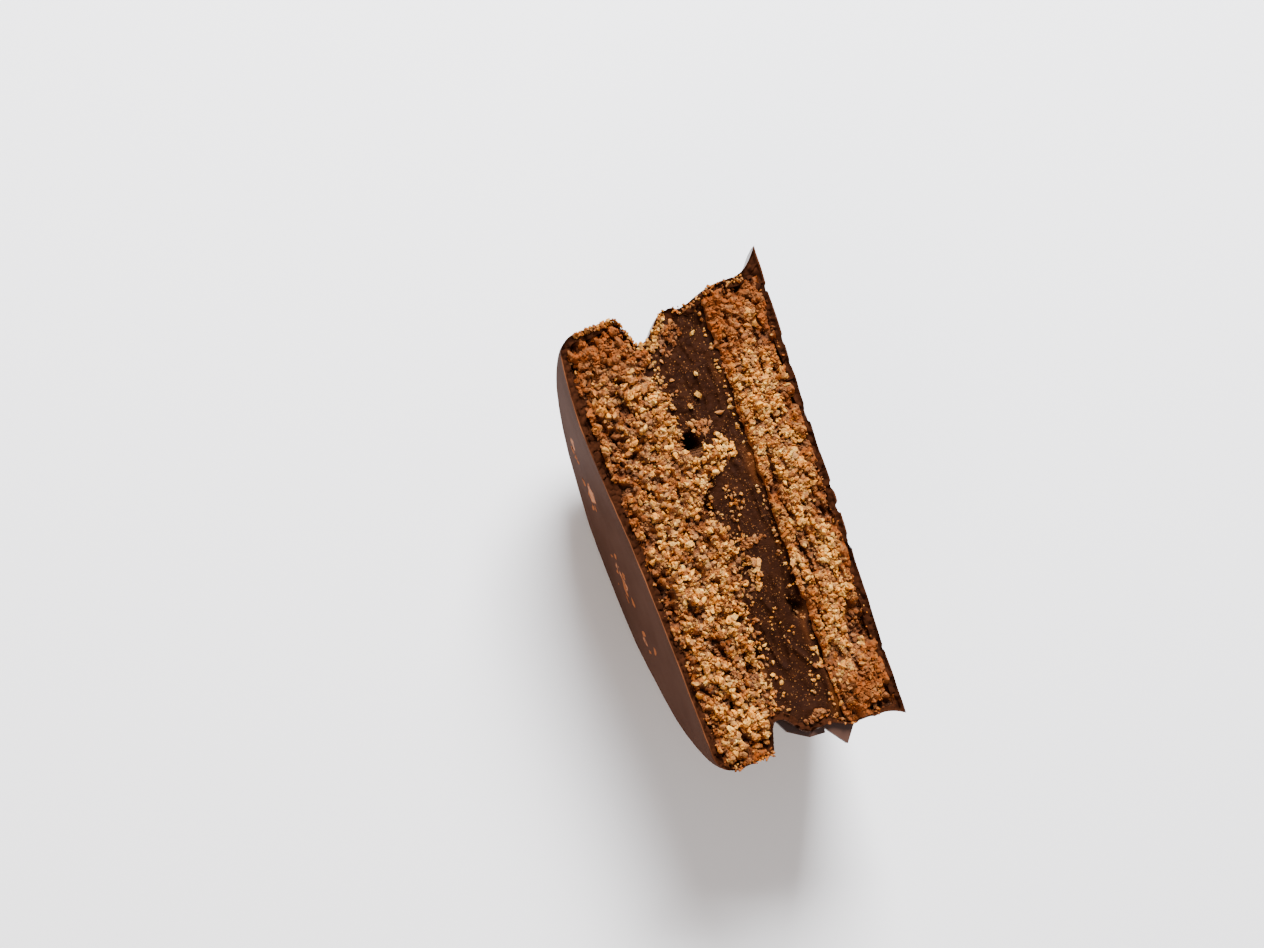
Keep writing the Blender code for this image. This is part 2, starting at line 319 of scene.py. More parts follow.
@dataclass(frozen=True)
class Grains:
    """Packed rounded grains, each at a level of its own."""

    size: float
    dome: float
    step: float
    seed: float
    stretch: float = 1.0

    def at(self, x: float, y: float) -> tuple[float, float]:
        """Sample the grains.

        Args:
            x: Place across the layers.
            y: Place along the break.

        Returns:
            The height, and the fixed chance number of the grain found there.
        """
        distances, centres = noise.voronoi(
            Vector((x / self.size, y / (self.size * self.stretch), self.seed)))
        own = chance(centres[0])
        return self.dome * (0.5 - min(distances[0], 1.0) ** 2) + self.step * (own - 0.5), own


# The broad swell of the break that all layers share
BREAK_SWELL = Swell(0.45 * MM, 15 * MM, 4.2)


@dataclass(frozen=True)
class CrumbFace:
    """The broken face of a biscuit: lumps, grains and grit, with hollows between them."""

    lumps: Grains
    grains: Grains
    grit: Grains
    spots: tuple[Spot, ...]
    swell: Swell
    hollow_depth: float
    hollow_length: float
    seed: float
    strips: Swell = Swell(0.0, 1.6 * MM, 6.3, 0.2)
    strips_in_depth: float = 0.6
    edge_drop: float = 1.1 * MM
    edge_width: float = 2.2 * MM
    edge_waves: float = 1.5 * MM
    wander: float = 0.45 * MM
    wander_size: float = 1.3 * MM
    wide_hollows: float = 1.9 * MM
    narrow_hollows: float = 0.8 * MM
    tooth: float = 0.14 * MM
    tooth_size: float = 0.19 * MM

    def coat_gap(self, x: float, y: float) -> float:
        """Give how near the coat a point is: 1 beside it, 0 from the edge's width inwards."""
        rise = DISC.crumb_rise * DISC.top_rise(y, 0.0)
        inside = min(x + rise - DISC.visible_coat, DISC.thickness - DISC.visible_coat - x,
                     DISC.skin_radius(x) - DISC.visible_coat - abs(y))
        return 1 - ramp(inside, 0.0, self.edge_width)

    def sample(self, x: float, y: float) -> tuple[float, float, float]:
        """Sample the face.

        Args:
            x: Place across the layers.
            y: Place along the break.

        Returns:
            The height, the tone from 0 to 1, and the depth from 0 on top to 1 in a hollow.
        """
        bend_x = x + self.wander * ripple(x, y, self.wander_size, self.seed + 3)
        bend_y = y + self.wander * ripple(x, y, self.wander_size, self.seed + 6)
        lump, lump_tone = self.lumps.at(bend_x, bend_y)
        grain, grain_tone = self.grains.at(bend_x, bend_y)
        grit, grit_tone = self.grit.at(bend_x, bend_y)
        strips = self.strips.at(x, y)
        stretched = y / self.hollow_length
        wide = -ripple(x, stretched, self.wide_hollows, self.seed + 9)
        narrow = -ripple(x, stretched, self.narrow_hollows, self.seed + 12)
        hollow = 0.9 * ramp(wide, 0.15, 0.46) + 0.75 * ramp(narrow, 0.08, 0.42)
        uneven = 0.5 + 1.1 * ripple(x, y, self.edge_waves, self.seed + 15)
        drop = self.edge_drop * self.coat_gap(x, y) * uneven
        tooth = self.tooth * ripple(x, y, self.tooth_size, self.seed + 18)
        marks = sum(spot.at(bend_x, bend_y) for spot in self.spots)
        local = lump + grain + grit + tooth + self.strips_in_depth * strips
        local = local - self.hollow_depth * hollow - drop
        broad = BREAK_SWELL.at(x, y) + self.swell.at(x, y)
        height = broad + (1 - self.strips_in_depth) * strips + marks + local
        tone = 0.38 * grain_tone + 0.27 * lump_tone + 0.35 * grit_tone
        depth = ramp(-local - 0.6 * min(marks, 0.0), -0.2 * MM, 1.0 * MM)
        return height, tone, depth

    def height(self, x: float, y: float) -> float:
        """Give the height alone."""
        return self.sample(x, y)[0]


DEEP_HOLE = Spot(11.5 * MM, 10.4 * MM, 0.85 * MM, 1.7 * MM, -4.2 * MM, steep=True)

TOP_FACE = CrumbFace(
    lumps=Grains(1.5 * MM, 0.95 * MM, 0.5 * MM, 1.5),
    grains=Grains(0.8 * MM, 0.42 * MM, 0.45 * MM, 11.3),
    grit=Grains(0.34 * MM, 0.2 * MM, 0.26 * MM, 21.9),
    spots=(DEEP_HOLE, *dents(
        (2.9, 14.6, 0.9, 2.6, -1.7),
        (4.6, 11.8, 0.7, 1.8, -1.3),
        (2.2, -6.5, 1.0, 3.0, -1.2),
        (1.8, -22.0, 0.9, 3.0, -1.1),
        (6.5, -13.0, 1.2, 2.4, -0.9),
        (14.0, 9.0, 2.2, 2.2, 0.9),
    )),
    swell=Swell(0.5 * MM, 4.5 * MM, 8.1),
    hollow_depth=0.85 * MM,
    hollow_length=1.7,
    seed=31.0,
)

BASE_FACE = CrumbFace(
    lumps=Grains(1.7 * MM, 0.6 * MM, 0.4 * MM, 9.4, stretch=1.6),
    grains=Grains(0.75 * MM, 0.36 * MM, 0.4 * MM, 13.7, stretch=1.4),
    grit=Grains(0.34 * MM, 0.2 * MM, 0.26 * MM, 23.1),
    spots=(Spot(23.9 * MM, -17.6 * MM, 1.7 * MM, 3.6 * MM, -1.3 * MM, steep=True), *dents(
        (20.2, -20.4, 1.6, 2.4, 0.3),
        (21.8, -25.0, 2.6, 3.4, 0.85),
        (21.5, -6.5, 0.8, 3.5, -1.1),
        (18.2, -12.6, 0.8, 1.2, -1.4),
    )),
    swell=Swell(0.1 * MM, 4.5 * MM, 8.1),
    hollow_depth=0.85 * MM,
    hollow_length=3.0,
    seed=47.0,
    strips=Swell(0.8 * MM, 1.6 * MM, 6.3, 0.2),
)


@dataclass(frozen=True)
class FillingFace:
    """The torn face of the filling: folds and ridges along the break, and a fine tooth."""

    drop: float = 0.6 * MM
    folds: Swell = Swell(0.26 * MM, 3.0 * MM, 2.7, 0.35)
    wander: Swell = Swell(0.8 * MM, 4.0 * MM, 18.4)
    ridge_height: float = 0.4 * MM
    ridges: Swell = Swell(1.0, 2.1 * MM, 14.2, 0.25)
    drag: Swell = Swell(1.0, 0.7 * MM, 14.2, 0.4)
    tooth: Swell = Swell(1.0, 0.33 * MM, 5.5, 0.7)
    bend_x: Swell = Swell(0.4 * MM, 1.1 * MM, 36.0)
    bend_y: Swell = Swell(0.6 * MM, 1.4 * MM, 33.0)
    pocket_depth: float = 1.3 * MM
    pocket_place: float = 0.2 * MM
    pocket_width: float = 0.5 * MM
    pockets: Swell = Swell(1.0, 2.4 * MM, 40.3)
    spots: tuple[Spot, ...] = (DEEP_HOLE, *dents(
        (17.4, 25.0, 0.8, 2.8, -1.0),
        (17.2, -12.6, 0.8, 1.2, -1.8),
        (13.0, -19.0, 3.0, 4.5, -0.6),
    ))

    def height(self, x: float, y: float) -> float:
        """Give the height at (x, y)."""
        across = x + self.wander.at(x, y)
        ridge = self.ridge_height * (0.35 - abs(self.ridges.at(across, y))) ** 2 / 0.12
        upper = ramp(y, -4 * MM, 6 * MM)
        drag = (0.1 + 0.12 * upper) * MM * self.drag.at(across, y)
        tooth = (0.05 + 0.1 * upper) * MM * self.tooth.at(x, y)
        bent = (x + self.bend_x.at(x, y), y + self.bend_y.at(x, y))
        marks = sum(spot.at(*bent) for spot in self.spots)
        beside = x - CRUMB_EDGE(y, 0.0) - self.pocket_place
        pocket = self.pocket_depth * bell(beside, self.pocket_width) * ramp(
            self.pockets.at(x, y), -0.1, 0.4)
        broad = BREAK_SWELL.at(x, y) + self.folds.at(x, y)
        return broad + ridge + drag + tooth - self.drop + marks - pocket


FILLING_FACE = FillingFace()

COAT_WAVES = Swell(0.2 * MM, 1.8 * MM, 5.2)
COAT_PITS = Grains(0.7 * MM, 0.3 * MM, 0.4 * MM, 17.2)
COAT_STEP = 0.35 * MM
COAT_STEP_SIZE = 3.4 * MM
COAT_STEP_SEED = 3.9
COAT_INNER_DROP = 0.35 * MM
COAT_SLOPE = 0.25
COAT_LIFT = 0.25 * MM


def coat_inset(x: float, y: float) -> float:
    """Give how far inside the coat's outer skin a point of the break lies."""
    return max(min(x + DISC.top_rise(y, 0.0), DISC.broken_radius(x, y) - abs(y),
                   DISC.thickness - x), 0.0)


def coat_height(x: float, y: float) -> float:
    """Give the height of the coat's brittle edge: highest at the outer skin, stepped and pitted."""
    cell = Vector((x / COAT_STEP_SIZE, y / COAT_STEP_SIZE, COAT_STEP_SEED))
    steps = COAT_STEP * (0.5 - min(noise.voronoi(cell)[0][0], 1.0))
    pits, _ = COAT_PITS.at(x, y)
    inset = coat_inset(x, y)
    inner = ramp(inset, 0.12 * MM, 0.4 * MM)
    slope = -COAT_INNER_DROP * inner - COAT_SLOPE * inset
    level = BREAK_SWELL.at(x, y) + steps + COAT_WAVES.at(x, y)
    return level + slope + pits * inner + COAT_LIFT


# ---------------------------------------------------------------------------------------------
# Meshes
# ---------------------------------------------------------------------------------------------

BLOCK_HALF_LENGTH = 1.13 * DISC.radius
LAYER_DEPTH = 1.1 * DISC.radius
MERGE_DISTANCE = 0.005 * MM


def turned_body(outline: Sequence[Vector], steps: int) -> bmesh.types.BMesh:
    """Spin a half outline about the X axis into a closed body.

    Args:
        outline: Points from axis to axis in the XY plane.
        steps: Number of steps round the axis.

    Returns:
        The closed body.
    """
    bm = bmesh.new()
    verts = [bm.verts.new(point) for point in outline]
    edges = [bm.edges.new(pair) for pair in zip(verts, verts[1:])]
    bmesh.ops.spin(bm, geom=verts + edges, cent=(0, 0, 0), axis=(1, 0, 0), angle=2 * math.pi,
                   steps=steps, use_merge=True)
    bmesh.ops.remove_doubles(bm, verts=bm.verts[:], dist=MERGE_DISTANCE)
    bmesh.ops.recalc_face_normals(bm, faces=bm.faces[:])
    return bm


def broken_block(near: Side, far: Side, height: Height, cell: float, depth: float,
                 levels: Sequence[float]) -> bmesh.types.BMesh:
    """Make a block between two side surfaces x(y, z), with a broken top z(x, y).

    Args:
        near: Side towards the flat top.
        far: Side towards the base.
        height: The broken top.
        cell: Size of the top's cells.
        depth: How far below z = 0 the flat bottom lies.
        levels: Distances below the top where the sides are cut into rows.

    Returns:
        The closed block.
    """
    columns = round((far(0.0, 0.0) - near(0.0, 0.0)) / cell)
    rows = round(2 * BLOCK_HALF_LENGTH / cell)
    bm = bmesh.new()
    bmesh.ops.create_grid(bm, x_segments=columns, y_segments=rows, size=0.5)
    extruded = bmesh.ops.extrude_face_region(bm, geom=bm.faces[:])["geom"]
    bottom = [part for part in extruded if isinstance(part, bmesh.types.BMFace)]
    moved = [part for part in extruded if isinstance(part, bmesh.types.BMVert)]
    bmesh.ops.translate(bm, verts=moved, vec=(0, 0, -1))
    bmesh.ops.dissolve_faces(bm, faces=bottom)
    for level in levels:
        bmesh.ops.bisect_plane(bm, geom=bm.verts[:] + bm.edges[:] + bm.faces[:],
                               plane_co=(0, 0, -level / depth), plane_no=(0, 0, 1))
    for vert in bm.verts:
        across, y, down = vert.co.x + 0.5, 2 * BLOCK_HALF_LENGTH * vert.co.y, -vert.co.z
        top = height(near(y, 0.0) + across * (far(y, 0.0) - near(y, 0.0)), y)
        z = top - down * (top + depth)
        vert.co = (near(y, z) + across * (far(y, z) - near(y, z)), y, z)
    bmesh.ops.recalc_face_normals(bm, faces=bm.faces[:])
    return bm


class Cut(Enum):
    """What a cutter does to a body."""

    KEEP_INSIDE = "INTERSECT"
    REMOVE = "DIFFERENCE"
    JOIN = "UNION"


def carved(body: bmesh.types.BMesh, cutters: Sequence[tuple[Cut, bmesh.types.BMesh]]
           ) -> bpy.types.Mesh:
    """Carve a closed body with closed cutters.

    Args:
        body: The body. It is freed.
        cutters: What to do, and with which closed shape. They are freed.

    Returns:
        The carved mesh, still in the disc's own axes.
    """
    def stand_in(bm: bmesh.types.BMesh) -> bpy.types.Object:
        """Put a bmesh on a short-lived object."""
        mesh = bpy.data.meshes.new("carving")
        bm.to_mesh(mesh)
        bm.free()
        obj = bpy.data.objects.new("carving", mesh)
        bpy.context.scene.collection.objects.link(obj)
        return obj

    block = stand_in(body)
    tools = []
    for cut, bm in cutters:
        tools.append(stand_in(bm))
        modifier = block.modifiers.new("carve", "BOOLEAN")
        modifier.operation = cut.value
        modifier.solver = "MANIFOLD"
        modifier.object = tools[-1]
    graph = bpy.context.evaluated_depsgraph_get()
    result = bpy.data.meshes.new_from_object(block.evaluated_get(graph))
    for obj in [block, *tools]:
        mesh = obj.data
        bpy.data.objects.remove(obj, do_unlink=True)
        bpy.data.meshes.remove(mesh)
    return result


def move_to_frame(mesh: bpy.types.Mesh) -> None:
    """Move a mesh from the disc's own axes to the row frame."""
    for vert in mesh.vertices:
        vert.co = DISC.place(vert.co)


def set_attribute(mesh: bpy.types.Mesh, name: str, values: Sequence[float]) -> None:
    """Store one number per vertex under a name that a material reads."""
    layer = mesh.attributes.new(name, "FLOAT", "POINT")
    layer.data.foreach_set("value", list(values))


def finish_piece(name: str, mesh: bpy.types.Mesh, material: bpy.types.Material,
                 sharp_angle: float = 40.0) -> bpy.types.Object:
    """Make a mesh one of the object's pieces.

    Args:
        name: The piece's name.
        mesh: Its mesh, already in the row frame.
        material: Its finish.
        sharp_angle: Edges that turn by more than this many degrees stay sharp.

    Returns:
        The piece.
    """
    mesh.name = name
    mesh.materials.clear()
    mesh.materials.append(material)
    mesh.shade_smooth()
    mesh.set_sharp_from_angle(angle=math.radians(sharp_angle))
    obj = bpy.data.objects.new(name, mesh)
    bpy.context.scene.collection.objects.link(obj)
    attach(obj, "root")
    triangles = sum(len(face.vertices) - 2 for face in mesh.polygons)
    log.info("%s: %d triangles", name, triangles)
    return obj


# ---------------------------------------------------------------------------------------------
# Finishes
# ---------------------------------------------------------------------------------------------

def add_node(tree: bpy.types.NodeTree, kind: str, inputs: dict[str | int, Any] | None = None,
             **settings: Any) -> bpy.types.Node:
    """Add a shader node.

    Args:
        tree: The tree that gets it.
        kind: The node's type.
        inputs: A value or an output socket for each named input.
        settings: Values of the node's own properties.

    Returns:
        The node.
    """
    made = tree.nodes.new(kind)
    for key, value in settings.items():
        setattr(made, key, value)
    for key, value in (inputs or {}).items():
        if isinstance(value, bpy.types.NodeSocket):
            tree.links.new(value, made.inputs[key])
        else:
            made.inputs[key].default_value = value
    return made


def work_out(tree: bpy.types.NodeTree, operation: str, *values: Any) -> bpy.types.NodeSocket:
    """Do one sum with numbers or sockets and give the result's socket."""
    return add_node(tree, "ShaderNodeMath", dict(enumerate(values)), operation=operation).outputs[0]


def add_bump(tree: bpy.types.NodeTree, height: bpy.types.NodeSocket, strength: float,
             distance: float, **normal: bpy.types.NodeSocket) -> bpy.types.NodeSocket:
    """Turn a height into a normal, on top of another Normal if one is given."""
    return add_node(tree, "ShaderNodeBump", {
        "Height": height, "Strength": strength, "Distance": distance, **normal}).outputs["Normal"]


def mix_colour(tree: bpy.types.NodeTree, share: Any, first: Any, second: Any,
               blend: str = "MIX") -> bpy.types.NodeSocket:
    """Mix two colours by a share and give the result's socket."""
    made = add_node(tree, "ShaderNodeMix", data_type="RGBA", blend_type=blend, clamp_factor=True)
    for socket, value in zip((made.inputs[0], made.inputs[6], made.inputs[7]),
                             (share, first, second)):
        if isinstance(value, bpy.types.NodeSocket):
            tree.links.new(value, socket)
        else:
            socket.default_value = value
    return made.outputs[2]


def colour_ramp(tree: bpy.types.NodeTree, value: bpy.types.NodeSocket,
                stops: Sequence[tuple[float, Colour]]) -> bpy.types.NodeSocket:
    """Look a value up on a ramp of colours and give the colour's socket."""
    made = add_node(tree, "ShaderNodeValToRGB", {"Fac": value})
    elements = made.color_ramp.elements
    ends = [elements[0], elements[1]]
    for element, (position, colour) in zip(ends, (stops[0], stops[-1])):
        element.position = position
        element.color = colour
    for position, colour in stops[1:-1]:
        elements.new(position).color = colour
    return made.outputs["Color"]


def attribute(tree: bpy.types.NodeTree, name: str) -> bpy.types.NodeSocket:
    """Read a number stored on the mesh."""
    return add_node(tree, "ShaderNodeAttribute", attribute_name=name).outputs["Fac"]


def shader_group(name: str, sockets: Sequence[tuple[str, str, str]]) -> bpy.types.NodeTree:
    """Start a node group with named sockets.

    Args:
        name: The group's name.
        sockets: Name, direction (INPUT or OUTPUT) and type of each socket.

    Returns:
        The group, without nodes.
    """
    group = bpy.data.node_groups.new(name, "ShaderNodeTree")
    for label, direction, kind in sockets:
        group.interface.new_socket(name=label, in_out=direction, socket_type=kind)
    return group


class Effects:
    """The shader effects that several finishes share, each built once."""

    def __init__(self) -> None:
        """Build the groups."""
        self.speckle = self._speckle()
        self.cloud = self._cloud()

    @staticmethod
    def _speckle() -> bpy.types.NodeTree:
        """Small separate specks: a mask and a random number for each speck."""
        group = shader_group("specks", (
            ("Vector", "INPUT", "NodeSocketVector"), ("Scale", "INPUT", "NodeSocketFloat"),
            ("Amount", "INPUT", "NodeSocketFloat"), ("Mask", "OUTPUT", "NodeSocketFloat"),
            ("Chance", "OUTPUT", "NodeSocketFloat")))
        start = group.nodes.new("NodeGroupInput")
        cells = add_node(group, "ShaderNodeTexVoronoi", {
            "Vector": start.outputs["Vector"], "Scale": start.outputs["Scale"]})
        parts = add_node(group, "ShaderNodeSeparateColor", {"Color": cells.outputs["Color"]})
        picked = work_out(group, "LESS_THAN", parts.outputs["Red"], start.outputs["Amount"])
        near = add_node(group, "ShaderNodeMapRange", {
            "Value": cells.outputs["Distance"], "From Min": 0.42, "From Max": 0.28})
        mask = work_out(group, "MULTIPLY", picked, near.outputs["Result"])
        end = group.nodes.new("NodeGroupOutput")
        group.links.new(mask, end.inputs["Mask"])
        group.links.new(parts.outputs["Green"], end.inputs["Chance"])
        return group

    @staticmethod
    def _cloud() -> bpy.types.NodeTree:
        """Soft uneven patches between 0 and 1."""
        group = shader_group("patches", (
            ("Vector", "INPUT", "NodeSocketVector"), ("Scale", "INPUT", "NodeSocketFloat"),
            ("Detail", "INPUT", "NodeSocketFloat"), ("Value", "OUTPUT", "NodeSocketFloat")))
        start = group.nodes.new("NodeGroupInput")
        cloud = add_node(group, "ShaderNodeTexNoise", {
            "Vector": start.outputs["Vector"], "Scale": start.outputs["Scale"],
            "Detail": start.outputs["Detail"], "Roughness": 0.55})
        spread = add_node(group, "ShaderNodeMapRange", {
            "Value": cloud.outputs["Fac"], "From Min": 0.3, "From Max": 0.7})
        end = group.nodes.new("NodeGroupOutput")
        group.links.new(spread.outputs["Result"], end.inputs["Value"])
        return group


def effect(tree: bpy.types.NodeTree, group: bpy.types.NodeTree, vector: bpy.types.NodeSocket,
           **values: float) -> bpy.types.Node:
    """Place a shared effect in a material with its own values."""
    made = tree.nodes.new("ShaderNodeGroup")
    made.node_tree = group
    tree.links.new(vector, made.inputs["Vector"])
    for name, value in values.items():
        made.inputs[name].default_value = value
    return made


def new_material(name: str) -> tuple[bpy.types.Material, bpy.types.Node, bpy.types.NodeSocket]:
    """Start a material.

    Args:
        name: The material's name.

    Returns:
        The material, its Principled shader, and the Object coordinates.
    """
    material = bpy.data.materials.new(name)
    material.use_nodes = True
    tree = material.node_tree
    place = add_node(tree, "ShaderNodeTexCoord").outputs["Object"]
    return material, tree.nodes["Principled BSDF"], place


@dataclass(frozen=True)
class CrumbFinish:
    """Baked crumb: a tone for each grain, with painted shade darkening the hollows, and toasted
    near the crust.
    """

    sugar: Colour = tint(236, 192, 108)
    pale: Colour = tint(207, 148, 68)
    light: Colour = tint(153, 100, 54)
    golden: Colour = tint(111, 68, 42)
    deep: Colour = tint(80, 46, 28)
    # Dark colour of the painted shade in the hollows, and also of the crumb's small dark specks
    hollow_shade_and_speck: Colour = tint(75, 42, 27)
    toasted: Colour = tint(120, 65, 29)
    yellower: Colour = (0.9, 1.08, 1.3, 1.0)
    redder: Colour = (1.15, 0.88, 0.42, 1.0)
    roughness: float = 0.82
    tone_share: float = 0.66
    crystal_share: float = 0.2
    grit_share: float = 0.17
    speck_share: float = 0.55

    def build(self, effects: Effects) -> bpy.types.Material:
        """Build the material."""
        material, shader, place = new_material("biscuit_crumb")
        tree = material.node_tree
        grit = effect(tree, effects.cloud, place, Scale=1 / (0.3 * MM), Detail=4.0)
        crystals = add_node(tree, "ShaderNodeTexVoronoi", {
            "Vector": place, "Scale": 1 / (0.26 * MM)})
        sparkle = add_node(tree, "ShaderNodeSeparateColor", {"Color": crystals.outputs["Color"]})
        tone = work_out(tree, "MULTIPLY", attribute(tree, "tone"), self.tone_share)
        tone = work_out(tree, "MULTIPLY_ADD", sparkle.outputs["Red"], self.crystal_share, tone)
        tone = work_out(tree, "MULTIPLY_ADD", grit.outputs["Value"], self.grit_share, tone)
        crumb = colour_ramp(tree, tone, (
            (0.12, self.deep), (0.36, self.golden), (0.62, self.light), (0.86, self.pale),
            (1.0, self.sugar)))
        crumb = mix_colour(tree, attribute(tree, "toast"), crumb, self.toasted)
        # Painted shade: the depth attribute darkens the hollows of the broken face. On the
        # filling's specks it is a fixed darkening of their own
        crumb = mix_colour(tree, attribute(tree, "depth"), crumb, self.hollow_shade_and_speck)
        specks = effect(tree, effects.speckle, place, Scale=1 / (0.5 * MM), Amount=0.1)
        dark = work_out(tree, "MULTIPLY", specks.outputs["Mask"], self.speck_share)
        crumb = mix_colour(tree, dark, crumb, self.hollow_shade_and_speck)
        crumbs = add_node(tree, "ShaderNodeTexVoronoi", {
            "Vector": place, "Scale": 1 / (0.6 * MM)})
        warmth = add_node(tree, "ShaderNodeSeparateColor", {"Color": crumbs.outputs["Color"]})
        hue = mix_colour(tree, warmth.outputs["Red"], self.yellower, self.redder)
        crumb = mix_colour(tree, 1.0, crumb, hue, "MULTIPLY")
        fine = add_node(tree, "ShaderNodeTexNoise", {
            "Vector": place, "Scale": 1 / (0.2 * MM), "Detail": 4.0, "Roughness": 0.65})
        normal = add_bump(tree, fine.outputs["Fac"], 0.9, 0.16 * MM)
        normal = add_bump(tree, crystals.outputs["Distance"], 0.7, 0.07 * MM, Normal=normal)
        tree.links.new(crumb, shader.inputs["Base Color"])
        tree.links.new(normal, shader.inputs["Normal"])
        shader.inputs["Roughness"].default_value = self.roughness
        shader.inputs["Specular IOR Level"].default_value = 0.06
        return material


@dataclass(frozen=True)
class ChocolateFinish:
    """Dark chocolate coat: satin skin, browner and rougher where it is broken."""

    skin: Colour = tint(58, 37, 28)
    cloudy: Colour = tint(69, 47, 38)
    raw: Colour = tint(32, 15, 8)
    raw_light: Colour = tint(54, 27, 14)
    # Pale line along the broken edge: the fracture's own paler colour together with a painted
    # highlight on the edge. The flakes on the flat top take this colour too
    edge: Colour = tint(136, 82, 52)
    scuffed: Colour = tint(158, 104, 74)
    fleck_share: float = 0.6
    skin_roughness: float = 0.55
    raw_roughness: float = 0.75
    cloud_roughness: float = 0.08

    def build(self, effects: Effects) -> bpy.types.Material:
        """Build the material."""
        material, shader, place = new_material("chocolate_coat")
        tree = material.node_tree
        cloud = effect(tree, effects.cloud, place, Scale=1 / (9 * MM), Detail=5.0)
        skin = mix_colour(tree, cloud.outputs["Value"], self.skin, self.cloudy)
        grit = effect(tree, effects.cloud, place, Scale=1 / (0.6 * MM), Detail=4.0)
        raw = mix_colour(tree, grit.outputs["Value"], self.raw, self.raw_light)
        # Paler broken edge, partly a painted highlight
        raw = mix_colour(tree, attribute(tree, "edge"), raw, self.edge)
        flecks = effect(tree, effects.cloud, place, Scale=1 / (1.6 * MM), Detail=5.0)
        worn = work_out(tree, "MULTIPLY_ADD", flecks.outputs["Value"], self.fleck_share,
                        attribute(tree, "scuff"))
        scuffs = add_node(tree, "ShaderNodeMapRange", {
            "Value": worn, "From Min": 0.9, "From Max": 1.05})
        skin = mix_colour(tree, scuffs.outputs["Result"], skin, self.scuffed)
        colour = mix_colour(tree, attribute(tree, "raw"), skin, raw)
        rough = add_node(tree, "ShaderNodeMapRange", {
            "Value": attribute(tree, "raw"), "To Min": self.skin_roughness,
            "To Max": self.raw_roughness})
        varied = work_out(tree, "MULTIPLY_ADD", cloud.outputs["Value"], self.cloud_roughness,
                          rough.outputs["Result"])
        broad = add_node(tree, "ShaderNodeTexNoise", {
            "Vector": place, "Scale": 1 / (2.2 * MM), "Detail": 4.0, "Roughness": 0.5})
        normal = add_bump(tree, broad.outputs["Fac"], 0.35, 0.12 * MM)
        tree.links.new(colour, shader.inputs["Base Color"])
        tree.links.new(varied, shader.inputs["Roughness"])
        tree.links.new(normal, shader.inputs["Normal"])
        tree.links.new(attribute(tree, "gloss"), shader.inputs["Coat Weight"])
        shader.inputs["Coat Roughness"].default_value = 0.3
        shader.inputs["Specular IOR Level"].default_value = 0.0
        return material


@dataclass(frozen=True)
class FillingFinish:
    """Dense dark paste with tiny pale sugar specks."""

    paste: Colour = tint(29, 13, 7)
    smear: Colour = tint(43, 21, 10)
    crumb: Colour = tint(84, 43, 15)
    speck: Colour = tint(116, 74, 40)

    def build(self, effects: Effects) -> bpy.types.Material:
        """Build the material."""
        material, shader, place = new_material("dark_filling")
        tree = material.node_tree
        cloud = effect(tree, effects.cloud, place, Scale=1 / (1.4 * MM), Detail=6.0)
        paste = mix_colour(tree, cloud.outputs["Value"], self.paste, self.smear)
        crumbed = mix_colour(tree, attribute(tree, "crumbed"), paste, self.crumb)
        fine = effect(tree, effects.speckle, place, Scale=1 / (0.26 * MM), Amount=0.2)
        share = work_out(tree, "MULTIPLY", fine.outputs["Mask"], fine.outputs["Chance"])
        colour = mix_colour(tree, share, crumbed, self.speck)
        grain = add_node(tree, "ShaderNodeTexNoise", {
            "Vector": place, "Scale": 1 / (0.22 * MM), "Detail": 3.0, "Roughness": 0.6})
        tree.links.new(colour, shader.inputs["Base Color"])
        tree.links.new(add_bump(tree, grain.outputs["Fac"], 0.9, 0.1 * MM),
                       shader.inputs["Normal"])
        shader.inputs["Roughness"].default_value = 0.6
        shader.inputs["Specular IOR Level"].default_value = 0.012
        return material


# ---------------------------------------------------------------------------------------------
# Loose and half-sunk grains
# ---------------------------------------------------------------------------------------------

@dataclass(frozen=True)
class Grain:
    """One crumb: where it lies, how it is turned, its three sizes, its tone and its toasting."""

    place: Vector
    turn: Euler
    size: Vector
    tone: float
    toast: float
    shape: int


